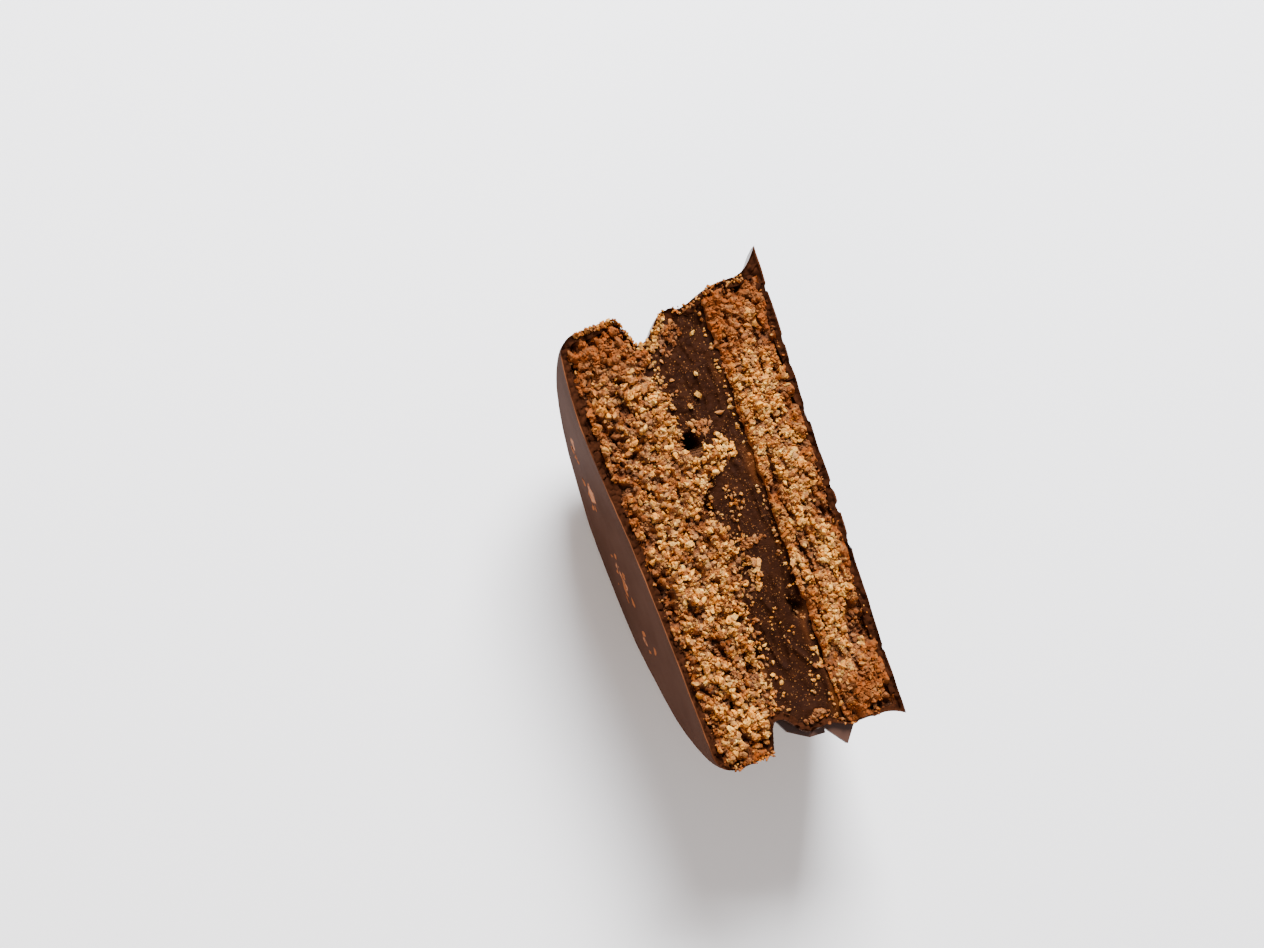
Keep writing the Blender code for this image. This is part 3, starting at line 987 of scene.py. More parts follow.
@dataclass
class GrainKit:
    """A few chipped crumb shapes that are repeated as one joined mesh."""

    facets: int
    shapes: int = 18
    chips: int = 5
    lumpiness: float = 0.75
    chip_low: float = 0.26
    chip_high: float = 0.44
    seed: int = 5
    templates: list[tuple[np.ndarray, np.ndarray]] = field(default_factory=list)

    def __post_init__(self) -> None:
        """Model the shapes, each about 1 across."""
        rng = random.Random(self.seed)
        for index in range(self.shapes):
            bm = bmesh.new()
            bmesh.ops.create_icosphere(bm, subdivisions=self.facets, radius=0.55)
            for vert in bm.verts:
                lump = noise.noise(vert.co * 3.0 + Vector((index * 7.3, self.seed, 0)))
                vert.co *= 1 + self.lumpiness * lump
            for _ in range(self.chips):
                side = Vector([rng.gauss(0, 1) for _ in range(3)]).normalized()
                level = rng.uniform(self.chip_low, self.chip_high)
                for vert in bm.verts:
                    vert.co -= max(vert.co.dot(side) - level, 0.0) * side
            verts = np.array([vert.co for vert in bm.verts])
            faces = np.array([[vert.index for vert in face.verts] for face in bm.faces])
            bm.free()
            self.templates.append((verts, faces))

    def joined(self, grains: Sequence[Grain]) -> bpy.types.Mesh:
        """Join many grains into one mesh with a tone and a toasting for each.

        Args:
            grains: The grains, in the row frame.

        Returns:
            The joined mesh.
        """
        verts, faces, tones, toasts, start = [], [], [], [], 0
        for grain in grains:
            points, corners = self.templates[grain.shape % self.shapes]
            turn = np.array(grain.turn.to_matrix())
            verts.append((points * np.array(grain.size)) @ turn.T + np.array(grain.place))
            faces.append(corners + start)
            tones.append(np.full(len(points), grain.tone))
            toasts.append(np.full(len(points), grain.toast))
            start += len(points)
        mesh = bpy.data.meshes.new("grains")
        mesh.from_pydata(np.concatenate(verts).tolist(), [], np.concatenate(faces).tolist())
        set_attribute(mesh, "tone", np.concatenate(tones))
        set_attribute(mesh, "toast", np.concatenate(toasts))
        return mesh


# Least and most of a grain's length, width and thickness, for a size of 1
GRAIN_SIZES = ((1.0, 1.75), (0.75, 1.15), (0.6, 1.0))


def random_grain(rng: random.Random, place: Vector, size: float, tone: float,
                 toast: float) -> Grain:
    """Turn and stretch a grain at random."""
    turn = Euler([rng.uniform(0, 2 * math.pi) for _ in range(3)])
    sizes = Vector([size * rng.uniform(least, most) for least, most in GRAIN_SIZES])
    return Grain(place, turn, sizes, min(max(tone, 0.0), 1.0), toast, rng.randrange(1000))


# ---------------------------------------------------------------------------------------------
# The pieces
# ---------------------------------------------------------------------------------------------

# Where the sides of a layer are cut into rows, as depths below its face
SIDE_ROWS = tuple(MM * depth for depth in (0.15, 0.35, 0.6, 0.9, 1.3, 1.9, 2.8, 4.2, 6.5, 10, 17))
# Crumb of the top biscuit that spills over the filling: place along the break, half length, reach
LEDGES = ((8.3 * MM, 2.6 * MM, 4.3 * MM), (-4.0 * MM, 6.5 * MM, 2.1 * MM))
LEDGE_FADE = 5.0 * MM
CORE_STEP = 0.5 * MM
CORE_RINGS = 12
CORE_TURN_STEPS = 150
GRAIN_ANGLE = 48


def filling_side(offset: float, roughness: float) -> Side:
    """Make the side between the top biscuit and the filling, where crumb spills over it.

    Args:
        offset: Shift towards the base.
        roughness: How ragged the side is.

    Returns:
        The side as x(y, z).
    """
    def side(y: float, z: float) -> float:
        """Give x at (y, z)."""
        spill = sum(reach * bell(y - place, half) for place, half, reach in LEDGES)
        ragged = roughness * (ripple(y, z, 2.2 * MM, 6.1) + 0.6 * ripple(y, z, 0.8 * MM, 2.3))
        return DISC.filling_start + spill * math.exp(min(z, 0.0) / LEDGE_FADE) + ragged + offset
    return side


CRUMB_EDGE = filling_side(0.0, 0.0)


def straight_side(x: float, roughness: float = 0.0, seed: float = 0.0) -> Side:
    """Make a side near the plane x.

    Args:
        x: Where the side lies.
        roughness: How ragged it is.
        seed: Which raggedness.

    Returns:
        The side as x(y, z).
    """
    def side(y: float, z: float) -> float:
        """Give x at (y, z)."""
        fine = 0.6 * ripple(y, z, 0.9 * MM, seed + 2)
        return x + roughness * (ripple(y, z, 2.4 * MM, seed) + fine)
    return side


def raised_side(side: Side) -> Side:
    """Make a side follow the rise of the flat top."""
    def raised(y: float, z: float) -> float:
        """Give x at (y, z)."""
        return side(y, z) - DISC.crumb_rise * DISC.top_rise(y, z)
    return raised


def thin_lower_end(co: Vector) -> Vector:
    """Bring the inside nearer the outer skin at the end where hardly any coat is left."""
    share = 1 - ramp(co.y, -27.5 * MM, -22.0 * MM)
    radius = math.hypot(co.y, co.z)
    if radius < 0.5 * DISC.radius or share <= 0:
        return co
    stretch = 1 + 0.5 * MM * share / radius
    return Vector((co.x, co.y * stretch, co.z * stretch))


def inner_core(inset: float) -> bmesh.types.BMesh:
    """Turn the body that trims biscuits and filling under the coat."""
    outline = DISC.profile(inset, DISC.thickness - inset + 0.1 * MM, CORE_STEP, CORE_RINGS)
    core = turned_body(outline, CORE_TURN_STEPS)
    for vert in core.verts:
        vert.co = DISC.lift_top(thin_lower_end(vert.co), DISC.crumb_rise)
    return core


@dataclass
class Biscuit:
    """A crumbly biscuit layer with its broken face and the grains that stand on it."""

    name: str
    node: str
    face: CrumbFace
    near: Side
    far: Side
    cell: float = 0.13 * MM
    medium_grains: int = 1250
    fine_grains: int = 4600
    pale_share: float = 0.06
    pale_spots: tuple[Spot, ...] = ()
    toasted_spots: tuple[Spot, ...] = ()
    soaked_side: float = -1.0
    seed: int = 3

    def toast(self, x: float, y: float) -> float:
        """Give how toasted the crumb is: most next to the coat, in patches elsewhere."""
        patch = ramp(ripple(x, 0.6 * y, 3.2 * MM, self.seed + 0.7), 0.1, 0.6)
        soaked = 1 - ramp(abs(x - self.soaked_side), 0.5 * MM, 2.6 * MM)
        soaked *= ramp(ripple(x, 0.4 * y, 2.6 * MM, self.seed + 5.1), -0.3, 0.4)
        spots = sum(spot.at(x, y) for spot in self.toasted_spots)
        return min(0.6 * self.face.coat_gap(x, y) + 0.4 * patch + 0.6 * soaked + spots, 1.0)

    def build_body(self, material: bpy.types.Material) -> None:
        """Build the layer itself and replace its plain solid."""
        block = broken_block(self.near, self.far, self.face.height, self.cell,
                             LAYER_DEPTH, SIDE_ROWS)
        mesh = carved(block, [(Cut.KEEP_INSIDE, inner_core(DISC.coat))])
        tones, hollow_shades, toasts = [], [], []
        for vert in mesh.vertices:
            x, y, _ = vert.co
            _, tone, depth = self.face.sample(x, y)
            # Painted shade between the grains: the body takes a smaller share of tone than the
            # grains, and a shade that grows with the depth of its hollows
            tones.append(0.6 * tone + 0.4 * sum(spot.at(x, y) for spot in self.pale_spots))
            hollow_shades.append(min(0.05 + 0.8 * depth, 1.0))
            toasts.append(min(0.3 + self.toast(x, y), 1.0))
        set_attribute(mesh, "tone", tones)
        set_attribute(mesh, "depth", hollow_shades)
        set_attribute(mesh, "toast", toasts)
        move_to_frame(mesh)
        body = finish_piece(self.name, mesh, material, sharp_angle=75)
        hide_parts(self.node)

    def scatter(self, rng: random.Random, count: int, low: float, high: float) -> list[Grain]:
        """Place grains at random on the broken face, fewer in the hollows, with painted shade on
        the grains there and painted light on those on top.

        Args:
            rng: The source of chance.
            count: How many grains.
            low: The smallest size.
            high: The largest size.

        Returns:
            The grains.
        """
        grains: list[Grain] = []
        while len(grains) < count:
            y = rng.uniform(-DISC.radius, DISC.radius)
            x = self.near(y, 0.0) + rng.random() * (self.far(y, 0.0) - self.near(y, 0.0))
            inside = min(DISC.skin_radius(x) - abs(y), DISC.thickness - x) - DISC.visible_coat
            if inside < 0.35 * high:
                continue
            height, tone, depth = self.face.sample(x, y)
            if rng.random() < 0.75 * depth:
                continue
            size = rng.uniform(low, high)
            place = DISC.place(Vector((x, y, height + size * rng.uniform(-0.2, 0.22))))
            # Painted light and shade: grains on top are lightened, grains in hollows darkened
            lift = 0.16 * (1 - depth) - 0.8 * depth
            own = 0.7 * tone + rng.uniform(-0.1, 0.42) + lift
            own += sum(spot.at(x, y) for spot in self.pale_spots)
            if rng.random() < self.pale_share:
                own += 0.35
            grains.append(random_grain(rng, place, size, own, self.toast(x, y)))
        return grains

    def build_grains(self, material: bpy.types.Material, medium: GrainKit,
                     fine: GrainKit) -> None:
        """Scatter half-sunk grains of two sizes over the broken face."""
        rng = random.Random(self.seed)
        for label, kit, count, low, high in (
                ("lumps", medium, self.medium_grains, 0.42 * MM, 0.85 * MM),
                ("grains", fine, self.fine_grains, 0.2 * MM, 0.48 * MM)):
            mesh = kit.joined(self.scatter(rng, count, low, high))
            finish_piece(f"{self.name}_{label}", mesh, material, GRAIN_ANGLE)


@dataclass(frozen=True)
class CrumbPatch:
    """A patch of crumbs that have fallen on the filling, with all lengths in millimetres."""

    x: float
    y: float
    half_x: float
    half_y: float
    count: int
    low: float
    high: float
    tone: float


@dataclass
class Filling:
    """The dark filling between the biscuits, with the crumbs that stick to it."""

    name: str = "dark_filling"
    node: str = "filling"
    cell: float = 0.14 * MM
    specks: int = 1500
    border_crumbs: int = 420
    top_side_share: float = 0.8
    half_length: float = 27
    speck_depth: float = 0.45
    seed: int = 17
    patches: tuple[CrumbPatch, ...] = (
        CrumbPatch(14.3, 16.3, 0.1, 0.2, 1, 0.9, 1.0, 0.9),
        CrumbPatch(12.7, 15.3, 0.2, 0.2, 2, 0.5, 0.7, 0.9),
        CrumbPatch(16.0, 13.3, 0.1, 0.1, 1, 0.9, 0.95, 0.5),
        CrumbPatch(14.7, 18.8, 0.1, 0.1, 1, 0.6, 0.65, 0.95),
        CrumbPatch(15.9, 23.8, 0.2, 0.2, 1, 0.6, 0.7, 0.9),
        CrumbPatch(12.2, 13.0, 0.6, 0.6, 9, 0.4, 0.8, 0.7),
        CrumbPatch(15.0, 8.8, 1.2, 1.8, 56, 0.3, 0.75, 1.15),
        CrumbPatch(13.2, 12.3, 1.0, 0.9, 34, 0.3, 0.7, 0.4),
        CrumbPatch(10.9, 24.0, 0.8, 0.8, 30, 0.3, 0.75, 0.8),
        CrumbPatch(12.6, 24.2, 1.8, 1.6, 120, 0.22, 0.55, 0.16),
        CrumbPatch(12.0, 25.6, 1.8, 0.5, 40, 0.25, 0.55, 0.4),
        CrumbPatch(14.0, 2.2, 0.9, 1.8, 40, 0.22, 0.55, 0.6),
        CrumbPatch(14.0, -3.0, 1.6, 0.6, 44, 0.3, 0.65, 0.3),
        CrumbPatch(13.4, -6.6, 0.7, 2.0, 60, 0.3, 0.75, 0.72),
        CrumbPatch(14.2, -14.0, 1.3, 4.0, 16, 0.2, 0.36, 0.75),
        CrumbPatch(16.3, -21.5, 0.8, 2.4, 10, 0.25, 0.5, 0.75),
        CrumbPatch(15.0, -26.0, 1.6, 0.5, 26, 0.3, 0.7, 0.3),
    )

    def build_body(self, material: bpy.types.Material) -> None:
        """Build the layer and replace its plain solid."""
        near = filling_side(-1.2 * MM, 0.0)
        far = straight_side(DISC.filling_end + 0.9 * MM)
        block = broken_block(near, far, FILLING_FACE.height, self.cell, LAYER_DEPTH, SIDE_ROWS)
        mesh = carved(block, [(Cut.KEEP_INSIDE, inner_core(DISC.coat))])
        crumbed = []
        for vert in mesh.vertices:
            x, y, _ = vert.co
            beside = min(x - CRUMB_EDGE(y, 0.0), DISC.filling_end - x)
            dusting = ramp(ripple(x, 0.5 * y, 2.0 * MM, 12.6), 0.0, 0.5)
            crumbed.append(dusting * (1 - ramp(beside, 0.0, 1.4 * MM)) * 0.6)
        set_attribute(mesh, "crumbed", crumbed)
        move_to_frame(mesh)
        body = finish_piece(self.name, mesh, material, sharp_angle=70)
        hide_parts(self.node)

    def grain_at(self, rng: random.Random, x: float, y: float, size: float,
                 tone: float) -> Grain:
        """Set one crumb on the filling."""
        z = FILLING_FACE.height(x, y) + size * rng.uniform(-0.1, 0.25)
        place = DISC.place(Vector((x, y, z)))
        return random_grain(rng, place, size, tone, toast=0.3 * rng.random())

    def build_crumbs(self, material: bpy.types.Material, medium: GrainKit,
                     fine: GrainKit) -> None:
        """Strew specks over the filling and crumbs along its borders and in patches."""
        rng = random.Random(self.seed)
        specks = []
        while len(specks) < self.specks:
            y = rng.uniform(-self.half_length, self.half_length) * MM
            x = rng.uniform(CRUMB_EDGE(y, 0.0), DISC.filling_end)
            if DISC.skin_radius(x) - abs(y) < DISC.visible_coat:
                continue
            size = rng.uniform(0.06, 0.14) * MM
            specks.append(self.grain_at(rng, x, y, size, 0.8 * rng.random() ** 2))
        crumbs = []
        while len(crumbs) < self.border_crumbs:
            y = rng.uniform(-self.half_length, self.half_length) * MM
            reach = abs(rng.gauss(0, 1)) * (1.0 if y < 2 * MM else 0.7) * MM
            if rng.random() < self.top_side_share:
                x = CRUMB_EDGE(y, 0.0) + reach
            else:
                x = DISC.filling_end - 0.4 * reach
            if DISC.skin_radius(x) - abs(y) < DISC.visible_coat:
                continue
            size = rng.uniform(0.22, 0.6) * MM
            crumbs.append(self.grain_at(rng, x, y, size, rng.uniform(0.3, 1.0)))
        for patch in self.patches:
            for _ in range(patch.count):
                angle = rng.uniform(0, 2 * math.pi)
                reach = rng.random() ** 0.6 * (1.1 + 0.35 * math.sin(3 * angle + patch.x))
                x = (patch.x + patch.half_x * reach * math.cos(angle)) * MM
                y = (patch.y + patch.half_y * reach * math.sin(angle)) * MM
                size = rng.uniform(patch.low, patch.high) * MM
                crumb = self.grain_at(rng, x, y, size, patch.tone + rng.uniform(-0.2, 0.2))
                if DISC.skin_radius(x) - abs(y) > 0.3 * MM:
                    crumbs.append(crumb)
        speck_mesh = fine.joined(specks)
        set_attribute(speck_mesh, "depth", [self.speck_depth] * len(speck_mesh.vertices))
        crumb_mesh = medium.joined(crumbs)
        for name, mesh in (("filling_specks", speck_mesh), ("filling_crumbs", crumb_mesh)):
            finish_piece(name, mesh, material, GRAIN_ANGLE)


@dataclass
class Coat:
    """The thin chocolate coat with its groove, its foot and its broken edge."""

    name: str = "chocolate_coat"
    node: str = "coating"
    cell: float = 0.14 * MM
    turn_steps: int = 240
    rim_step: float = 0.4 * MM
    plate_rings: int = 34
    hollow_rings: int = 56
    raggedness: float = 0.42 * MM
    side_crumbs: int = 150
    edge_chips: int = 34
    chip_seed: int = 13
    crumb_seed: int = 29
    flake_seed: int = 41
    # Upper and lower level, and the corners, in millimetres
    splinters: tuple[tuple[float, float, tuple[tuple[float, float], ...]], ...] = (
        (-0.4, -1.5, ((14.9, -27.1), (17.7, -30.6), (19.6, -28.3), (18.8, -27.7))),
        (-0.9, -1.6, ((9.4, -24.4), (10.6, -26.6), (13.2, -28.2), (15.4, -28.4), (15.6, -27.0),
                      (12.6, -25.4))),
    )
    # On the flat top, with y and z in place of x and y
    scuff_spots: tuple[Spot, ...] = shades(
        (16.5, -13.5, 1.6, 3.0, 0.6),
        (10.0, -14.5, 2.8, 3.0, 0.85),
        (-2.0, -16.0, 4.5, 2.2, 0.7),
        (-11.0, -16.5, 2.6, 2.2, 0.5),
    )
    # Where along X, which end of the break, how deep, how many and how pale the end crumbs are
    end_crumbs: tuple[tuple[float, float, int, float, int, float], ...] = (
        (2.4, 8.8, 1, 0.6, 210, 0.6),
        (8.6, 13.4, 1, 1.6, 120, 0.85),
        (14.5, 24.0, 1, 0.9, 80, 0.55),
        (2.0, 8.0, -1, 0.9, 60, 0.5),
        (16.0, 23.5, -1, 1.2, 70, 0.4),
    )
    # Where along Y the flakes on the flat top lie, and how many
    flakes: tuple[tuple[float, float, int], ...] = ((14, 17, 5), (8, 12, 11), (-6, 3, 16),
                                                    (-13, -9, 4))

    def wavy_skin(self, co: Vector) -> Vector:
        """Give the outer skin faint hand-made waves."""
        wave = (0.20 * MM * noise.noise(co / (8 * MM)) + 0.07 * MM * noise.noise(co / (2.8 * MM))
                + 0.025 * MM * noise.noise(co / (1.2 * MM)))
        radius = math.hypot(co.y, co.z)
        rim = ramp(radius, DISC.radius - DISC.shoulder, DISC.radius)
        plate = 1 - ramp(co.x, 0.0, DISC.shoulder)
        bottom = ramp(co.x, DISC.thickness - 0.2 * MM, DISC.thickness)
        stretch = 1 + rim * (wave - 0.1 * MM) / max(radius, 1 * MM)
        shift = 0.5 * plate * (wave + 0.1 * MM) + 0.8 * bottom * (wave - 0.12 * MM) * (1 - rim)
        return Vector((co.x + shift, co.y * stretch, co.z * stretch))

    def ragged_inside(self, co: Vector) -> Vector:
        """Give the coat's inside the uneven print of the crumb."""
        shift = self.raggedness * noise.noise_vector(co / (1.9 * MM))
        shift += 0.4 * self.raggedness * noise.noise_vector(co / (0.8 * MM))
        return thin_lower_end(co + shift)

    def splinter(self, outline: Sequence[tuple[float, float]], top: float,
                 bottom: float) -> bmesh.types.BMesh:
        """Make a thin splinter of coat.

        Args:
            outline: Its corners in millimetres.
            top: Its upper level in millimetres.
            bottom: Its lower level in millimetres.

        Returns:
            The closed splinter.
        """
        bm = bmesh.new()
        face = bm.faces.new([bm.verts.new((x * MM, y * MM, top * MM)) for x, y in outline])
        extruded = bmesh.ops.extrude_face_region(bm, geom=[face])["geom"]
        moved = [part for part in extruded if isinstance(part, bmesh.types.BMVert)]
        bmesh.ops.translate(bm, verts=moved, vec=(0, 0, (bottom - top) * MM))
        bmesh.ops.recalc_face_normals(bm, faces=bm.faces[:])
        return bm

    def chips(self) -> list[Spot]:
        """Choose where small flakes have snapped out of the broken edge."""
        rng = random.Random(self.chip_seed)
        chips = []
        for count in range(self.edge_chips):
            size = rng.uniform(0.35, 0.95) * MM
            long = size * rng.uniform(1.0, 2.0)
            if count % 3 < 2:
                x = rng.uniform(1.0, 25.0) * MM
                side = -1 if count % 3 else 1
                out = DISC.broken_radius(x, side) + size * rng.uniform(0.3, 0.6)
                chips.append(Spot(x, side * out, long, size, rng.uniform(0.5, 1.1) * MM))
            else:
                x = DISC.thickness + size * rng.uniform(0.15, 0.5)
                chips.append(Spot(x, rng.uniform(-25, 26) * MM, 0.8 * size, long,
                                  rng.uniform(0.4, 0.9) * MM))
        return chips

    def chip_cutter(self, chip: Spot) -> bmesh.types.BMesh:
        """Make the rough closed shape that snaps one chip out.

        Args:
            chip: Its place, its half sizes, and its depth as the rise.

        Returns:
            The cutter.
        """
        bm = bmesh.new()
        bmesh.ops.create_icosphere(bm, subdivisions=3, radius=1.0)
        for vert in bm.verts:
            rough = 1 + 0.3 * noise.noise(vert.co * 1.7 + Vector((chip.y * 900, chip.x * 900, 0)))
            vert.co = Vector((chip.x + rough * chip.half_x * vert.co.x,
                              chip.y + rough * chip.half_y * vert.co.y,
                              rough * 2 * chip.rise * vert.co.z + 0.5 * chip.rise))
        return bm

    def carve_shell(self, chips: Sequence[Spot]) -> bpy.types.Mesh:
        """Carve the shell, with chips snapped out of its broken edge and splinters joined on."""
        outer = turned_body(DISC.profile(0.0, DISC.thickness, self.rim_step, self.plate_rings),
                            self.turn_steps)
        for vert in outer.verts:
            vert.co = DISC.lift_top(self.wavy_skin(DISC.spread_foot(vert.co)))
        hollow = turned_body(DISC.profile(DISC.visible_coat, DISC.thickness - DISC.visible_coat,
                                          self.rim_step, self.hollow_rings), self.turn_steps)
        for vert in hollow.verts:
            vert.co = DISC.lift_top(self.ragged_inside(vert.co), DISC.crumb_rise)
        block = broken_block(straight_side(-2 * MM), straight_side(DISC.thickness + 2 * MM),
                             coat_height, self.cell, DISC.radius - DISC.flat_spot_depth, ())
        joined = [(Cut.JOIN, self.splinter(outline, top, bottom))
                  for top, bottom, outline in self.splinters]
        snapped = [(Cut.REMOVE, self.chip_cutter(chip)) for chip in chips]
        return carved(outer, [(Cut.REMOVE, hollow), (Cut.KEEP_INSIDE, block), *snapped, *joined])

    def dress_shell(self, mesh: bpy.types.Mesh, chips: Sequence[Spot]) -> None:
        """Mark where the shell is raw, pale at its edge (its own paler fracture with a painted
        highlight), glossy or scuffed.
        """
        raws, edges, glosses, scuffs = [], [], [], []
        for vert in mesh.vertices:
            x, y, z = vert.co
            above = z - coat_height(x, y)
            inset = coat_inset(x, y)
            depth = DISC.skin_depth(vert.co)
            chipped = z > -2.6 * MM and depth > 0.16 * MM and any(
                ((x - chip.x) / chip.half_x) ** 2 + ((y - chip.y) / chip.half_y) ** 2 < 1.5
                for chip in chips)
            inside = depth > 0.4 * MM
            raws.append(1.0 if above > -0.02 * MM or inside or chipped else 0.0)
            # The pale edge line, partly a painted highlight, is strongest near the flat top and
            # fades at the lower end and further along X
            pale_edge_and_highlight = 0.7 - 0.6 * ramp(-y, 23 * MM, 26 * MM) - 0.3 * ramp(x, 2 * MM, 4 * MM)
            pale_edge_and_highlight = max(pale_edge_and_highlight, 0.0)
            edges.append(pale_edge_and_highlight * (1 - ramp(inset, 0.03 * MM, 0.16 * MM)) * (above > -0.05 * MM))
            base = ramp(x, DISC.thickness - 0.4 * MM, DISC.thickness)
            rim = ramp(x, 2.2 * MM, 6 * MM) - 0.55 * base
            glosses.append((1 - raws[-1]) * (0.05 + 0.64 * rim))
            worn = sum(spot.at(y, z) for spot in self.scuff_spots)
            scuffs.append(worn * (1 - ramp(x, 0.3 * MM, 1.0 * MM)))
        for name, values in (("gloss", glosses), ("scuff", scuffs), ("raw", raws),
                             ("edge", edges)):
            set_attribute(mesh, name, values)

    def build_shell(self, material: bpy.types.Material) -> None:
        """Build the shell and replace its plain solid."""
        chips = self.chips()
        mesh = self.carve_shell(chips)
        self.dress_shell(mesh, chips)
        move_to_frame(mesh)
        body = finish_piece(self.name, mesh, material, sharp_angle=48)
        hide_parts(self.node)

    def build_edge_crumbs(self, material: bpy.types.Material, kit: GrainKit) -> None:
        """Stick crumbs to the broken edge, most of them along its upper end."""
        rng = random.Random(self.crumb_seed)
        crumbs = []
        for x_low, x_high, y_side, depth, count, tone in self.end_crumbs:
            for _ in range(count):
                x = rng.uniform(x_low, x_high) * MM
                y = y_side * (DISC.skin_radius(x) - rng.uniform(0.05, depth) * MM)
                size = rng.uniform(0.16, 0.34 + 0.3 * tone) * MM
                crumbs.append(self.edge_crumb(rng, x, y, size, tone))
        for _ in range(self.side_crumbs):
            x = rng.choice((rng.uniform(0.7, 1.2), rng.uniform(25.0, 25.7))) * MM
            crumbs.append(self.edge_crumb(rng, x, rng.uniform(-25, 26) * MM,
                                          rng.uniform(0.12, 0.36) * MM, 0.5))
        finish_piece("edge_crumbs", kit.joined(crumbs), material, GRAIN_ANGLE)

    def edge_crumb(self, rng: random.Random, x: float, y: float, size: float,
                   tone: float) -> Grain:
        """Set one crumb on the broken edge."""
        place = DISC.place(Vector((x, y, coat_height(x, y) + 0.1 * size)))
        return random_grain(rng, place, size, tone + rng.uniform(-0.35, 0.35), 0.8 * rng.random())

    def build_flakes(self, material: bpy.types.Material, kit: GrainKit) -> None:
        """Raise the scuffs and small flakes on the flat top."""
        rng = random.Random(self.flake_seed)
        flakes = []
        for y_low, y_high, count in self.flakes:
            for _ in range(count):
                y = rng.uniform(y_low, y_high) * MM
                z = rng.gauss(-15.5, 2.0) * MM
                place = DISC.place(DISC.lift_top(Vector((0.1 * MM, y, z))))
                turn = Euler((rng.uniform(-0.5, 0.5), rng.uniform(-0.1, 0.1), 0))
                size = Vector((0.2, rng.uniform(0.4, 1.5), rng.uniform(0.4, 1.6))) * MM
                flakes.append(Grain(place, turn, size, 0.0, 0.0, rng.randrange(1000)))
        mesh = kit.joined(flakes)
        for name, value in (("raw", 1.0), ("edge", 1.0), ("gloss", 0.0), ("scuff", 0.0)):
            set_attribute(mesh, name, [value] * len(mesh.vertices))
        finish_piece("coat_scuffs", mesh, material, sharp_angle=50)


# ---------------------------------------------------------------------------------------------
# Table, light and camera
# ---------------------------------------------------------------------------------------------

@dataclass(frozen=True)
class Studio:
    """A plain pale table under soft light."""

    table_colour: Colour = tint(245, 246, 249)
    table_size: float = 6.0
    sky_colour: Colour = tint(236, 240, 250)
    sky_strength: float = 0.56

    def build_table(self) -> None:
        """Build the table top."""
        bm = bmesh.new()
        bmesh.ops.create_grid(bm, x_segments=1, y_segments=1, size=self.table_size / 2)
        mesh = bpy.data.meshes.new("table_top")
        bm.to_mesh(mesh)
        bm.free()
        material, shader, _ = new_material("pale_table")
        shader.inputs["Base Color"].default_value = self.table_colour
        shader.inputs["Roughness"].default_value = 0.6
        mesh.materials.append(material)
        table = bpy.data.objects.new("table_top", mesh)
        bpy.context.scene.collection.objects.link(table)

    def build_sky(self) -> None:
        """Light the scene evenly from all round."""
        world = bpy.data.worlds.new("soft_room")
        world.use_nodes = True
        background = world.node_tree.nodes["Background"]
        background.inputs["Color"].default_value = self.sky_colour
        background.inputs["Strength"].default_value = self.sky_strength
        bpy.context.scene.world = world

    def build_lamp(self, name: str, place: Vector, size: float, power: float,
                   colour: tuple[float, float, float]) -> None:
        """Hang a square soft box that looks at the object.

        Args:
            name: The lamp's name.
            place: Where it hangs.
            size: Its side length.
            power: Its power in watts.
            colour: Its colour.
        """
        lamp = bpy.data.lights.new(name, "AREA")
        lamp.size = size
        lamp.energy = power
        lamp.color = colour
        obj = bpy.data.objects.new(name, lamp)
        obj.location = place
        obj.rotation_euler = (-place).to_track_quat("-Z", "Y").to_euler()
        bpy.context.scene.collection.objects.link(obj)

    def build(self) -> None:
        """Build table and lights."""
        self.build_table()
        self.build_sky()
        self.build_lamp("window", Vector((0.2, 0.46, 0.46)), 0.3, 21.0, (0.99, 0.99, 1.0))
        self.build_lamp("warm_bounce", Vector((-0.4, -0.4, 0.3)), 0.4, 2.5, (1.0, 0.72, 0.46))


@dataclass(frozen=True)
class PhotoCamera:
    """The camera, where the photograph was taken from, with its angles in degrees."""

    azimuth: float = -77.4
    elevation: float = 79.0
    roll: float = 56.7
    distance: float = 241.0 * MM
    aim_x: float = 3.2 * MM
    aim_y: float = 9.9 * MM
    lens: float = 55.85
    sensor: float = 36.0

    def build(self) -> None:
        """Place the camera and make it the scene's."""
        azimuth, elevation, roll = (math.radians(angle) for angle in
                                    (self.azimuth, self.elevation, self.roll))
        back = Vector((math.sin(azimuth) * math.cos(elevation),
                       -math.cos(azimuth) * math.cos(elevation), math.sin(elevation)))
        level = Vector((0, 0, 1)).cross(back).normalized()
        up = math.cos(roll) * back.cross(level) - math.sin(roll) * level
        data = bpy.data.cameras.new("photo_camera")
        data.lens = self.lens
        data.sensor_width = self.sensor
        data.clip_start = 0.01
        camera = bpy.data.objects.new("photo_camera", data)
        aim = DISC.origin + Vector((self.aim_x, self.aim_y, 0))
        camera.matrix_world = Matrix.Translation(aim + self.distance * back) @ Matrix(
            (up.cross(back), up, back)).transposed().to_4x4()
        bpy.context.scene.collection.objects.link(camera)
        bpy.context.scene.camera = camera


# ---------------------------------------------------------------------------------------------
# The broken half
# ---------------------------------------------------------------------------------------------

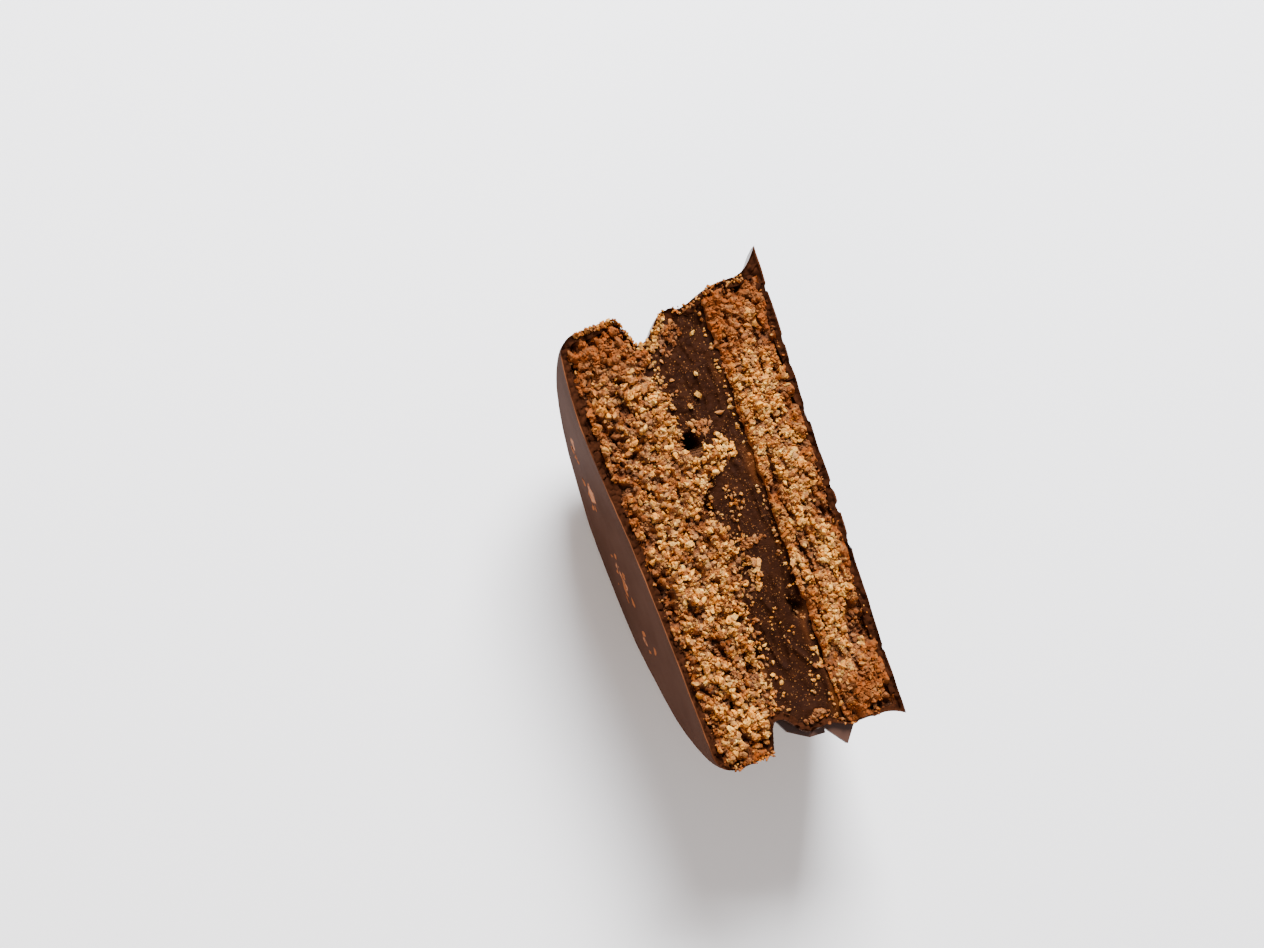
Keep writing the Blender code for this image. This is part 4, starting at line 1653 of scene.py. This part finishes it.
def top_biscuit() -> Biscuit:
    """Describe the biscuit under the flat top."""
    return Biscuit(
        "top_biscuit", "biscuit_top", TOP_FACE,
        near=raised_side(straight_side(1.0 * MM, 0.15 * MM, 1.1)),
        far=filling_side(0.0, 0.6 * MM),
        toasted_spots=shades(
            (5.0, 26.2, 5.0, 4.4, 0.8),
            (12.0, -1.0, 1.0, 3.5, 0.4)),
        pale_spots=(*shades(
            (14.6, 9.0, 2.0, 2.0, 0.8),
            (5.4, 25.4, 4.6, 4.6, -0.45),
            (6.3, 15.8, 1.4, 3.0, -0.15),
            (6.8, -18.4, 1.2, 3.0, -0.35),
            (10.2, 15.5, 1.2, 2.2, 0.4),
            (12.2, 5.0, 1.6, 2.0, 0.35),
            (6.0, -22.0, 4.5, 8.0, 0.14),
            (3.0, 14.0, 3.0, 9.0, -0.12)),
            *sugar_clusters((6.3, 18.6), (9.0, 18.0), (10.1, 20.8), (11.0, 13.6), (11.1, 7.2),
                            (8.5, 3.0), (3.7, 0.8))))


def base_biscuit() -> Biscuit:
    """Describe the thinner biscuit under the base."""
    return Biscuit(
        "base_biscuit", "biscuit_base", BASE_FACE,
        near=straight_side(DISC.filling_end + 0.45 * MM, 0.35 * MM, 4.4),
        far=straight_side(DISC.thickness), medium_grains=950, fine_grains=3700,
        soaked_side=DISC.filling_end + 0.5 * MM, seed=8,
        toasted_spots=shades(
            (21.0, 27.0, 5.5, 7.0, 0.6),
            (18.4, 15.0, 0.9, 7.0, 0.6),
            (21.3, -25.0, 2.2, 2.8, 0.9)),
        pale_spots=(*shades(
            (21.5, 27.5, 5.5, 6.5, -0.3),
            (21.3, -25.0, 2.2, 2.8, -0.4),
            (20.2, -20.2, 1.6, 2.2, 0.4),
            (23.2, -8.0, 1.2, 5.0, 0.3),
            (22.0, 12.0, 3.0, 9.0, 0.1)),
            *sugar_clusters((25.0, -11.8), (24.1, -12.8), (25.0, -15.0), (23.9, -22.4))))


def main() -> None:
    """Build the broken half, its table and its camera."""
    logging.basicConfig(level=logging.INFO, format="%(message)s")
    noise.seed_set(NOISE_SEED)
    effects = Effects()
    coat_finish = ChocolateFinish().build(effects)
    crumb_finish = CrumbFinish().build(effects)
    filling_finish = FillingFinish().build(effects)

    medium = GrainKit(facets=2)
    fine = GrainKit(facets=1, chips=3)
    coat = Coat()
    coat.build_shell(coat_finish)
    coat.build_edge_crumbs(crumb_finish, fine)
    coat.build_flakes(coat_finish, medium)
    filling = Filling()
    filling.build_body(filling_finish)
    filling.build_crumbs(crumb_finish, medium, fine)
    for biscuit in (top_biscuit(), base_biscuit()):
        biscuit.build_body(crumb_finish)
        biscuit.build_grains(crumb_finish, medium, fine)

    Studio().build()
    PhotoCamera().build()


if __name__ == "__main__":
    main()
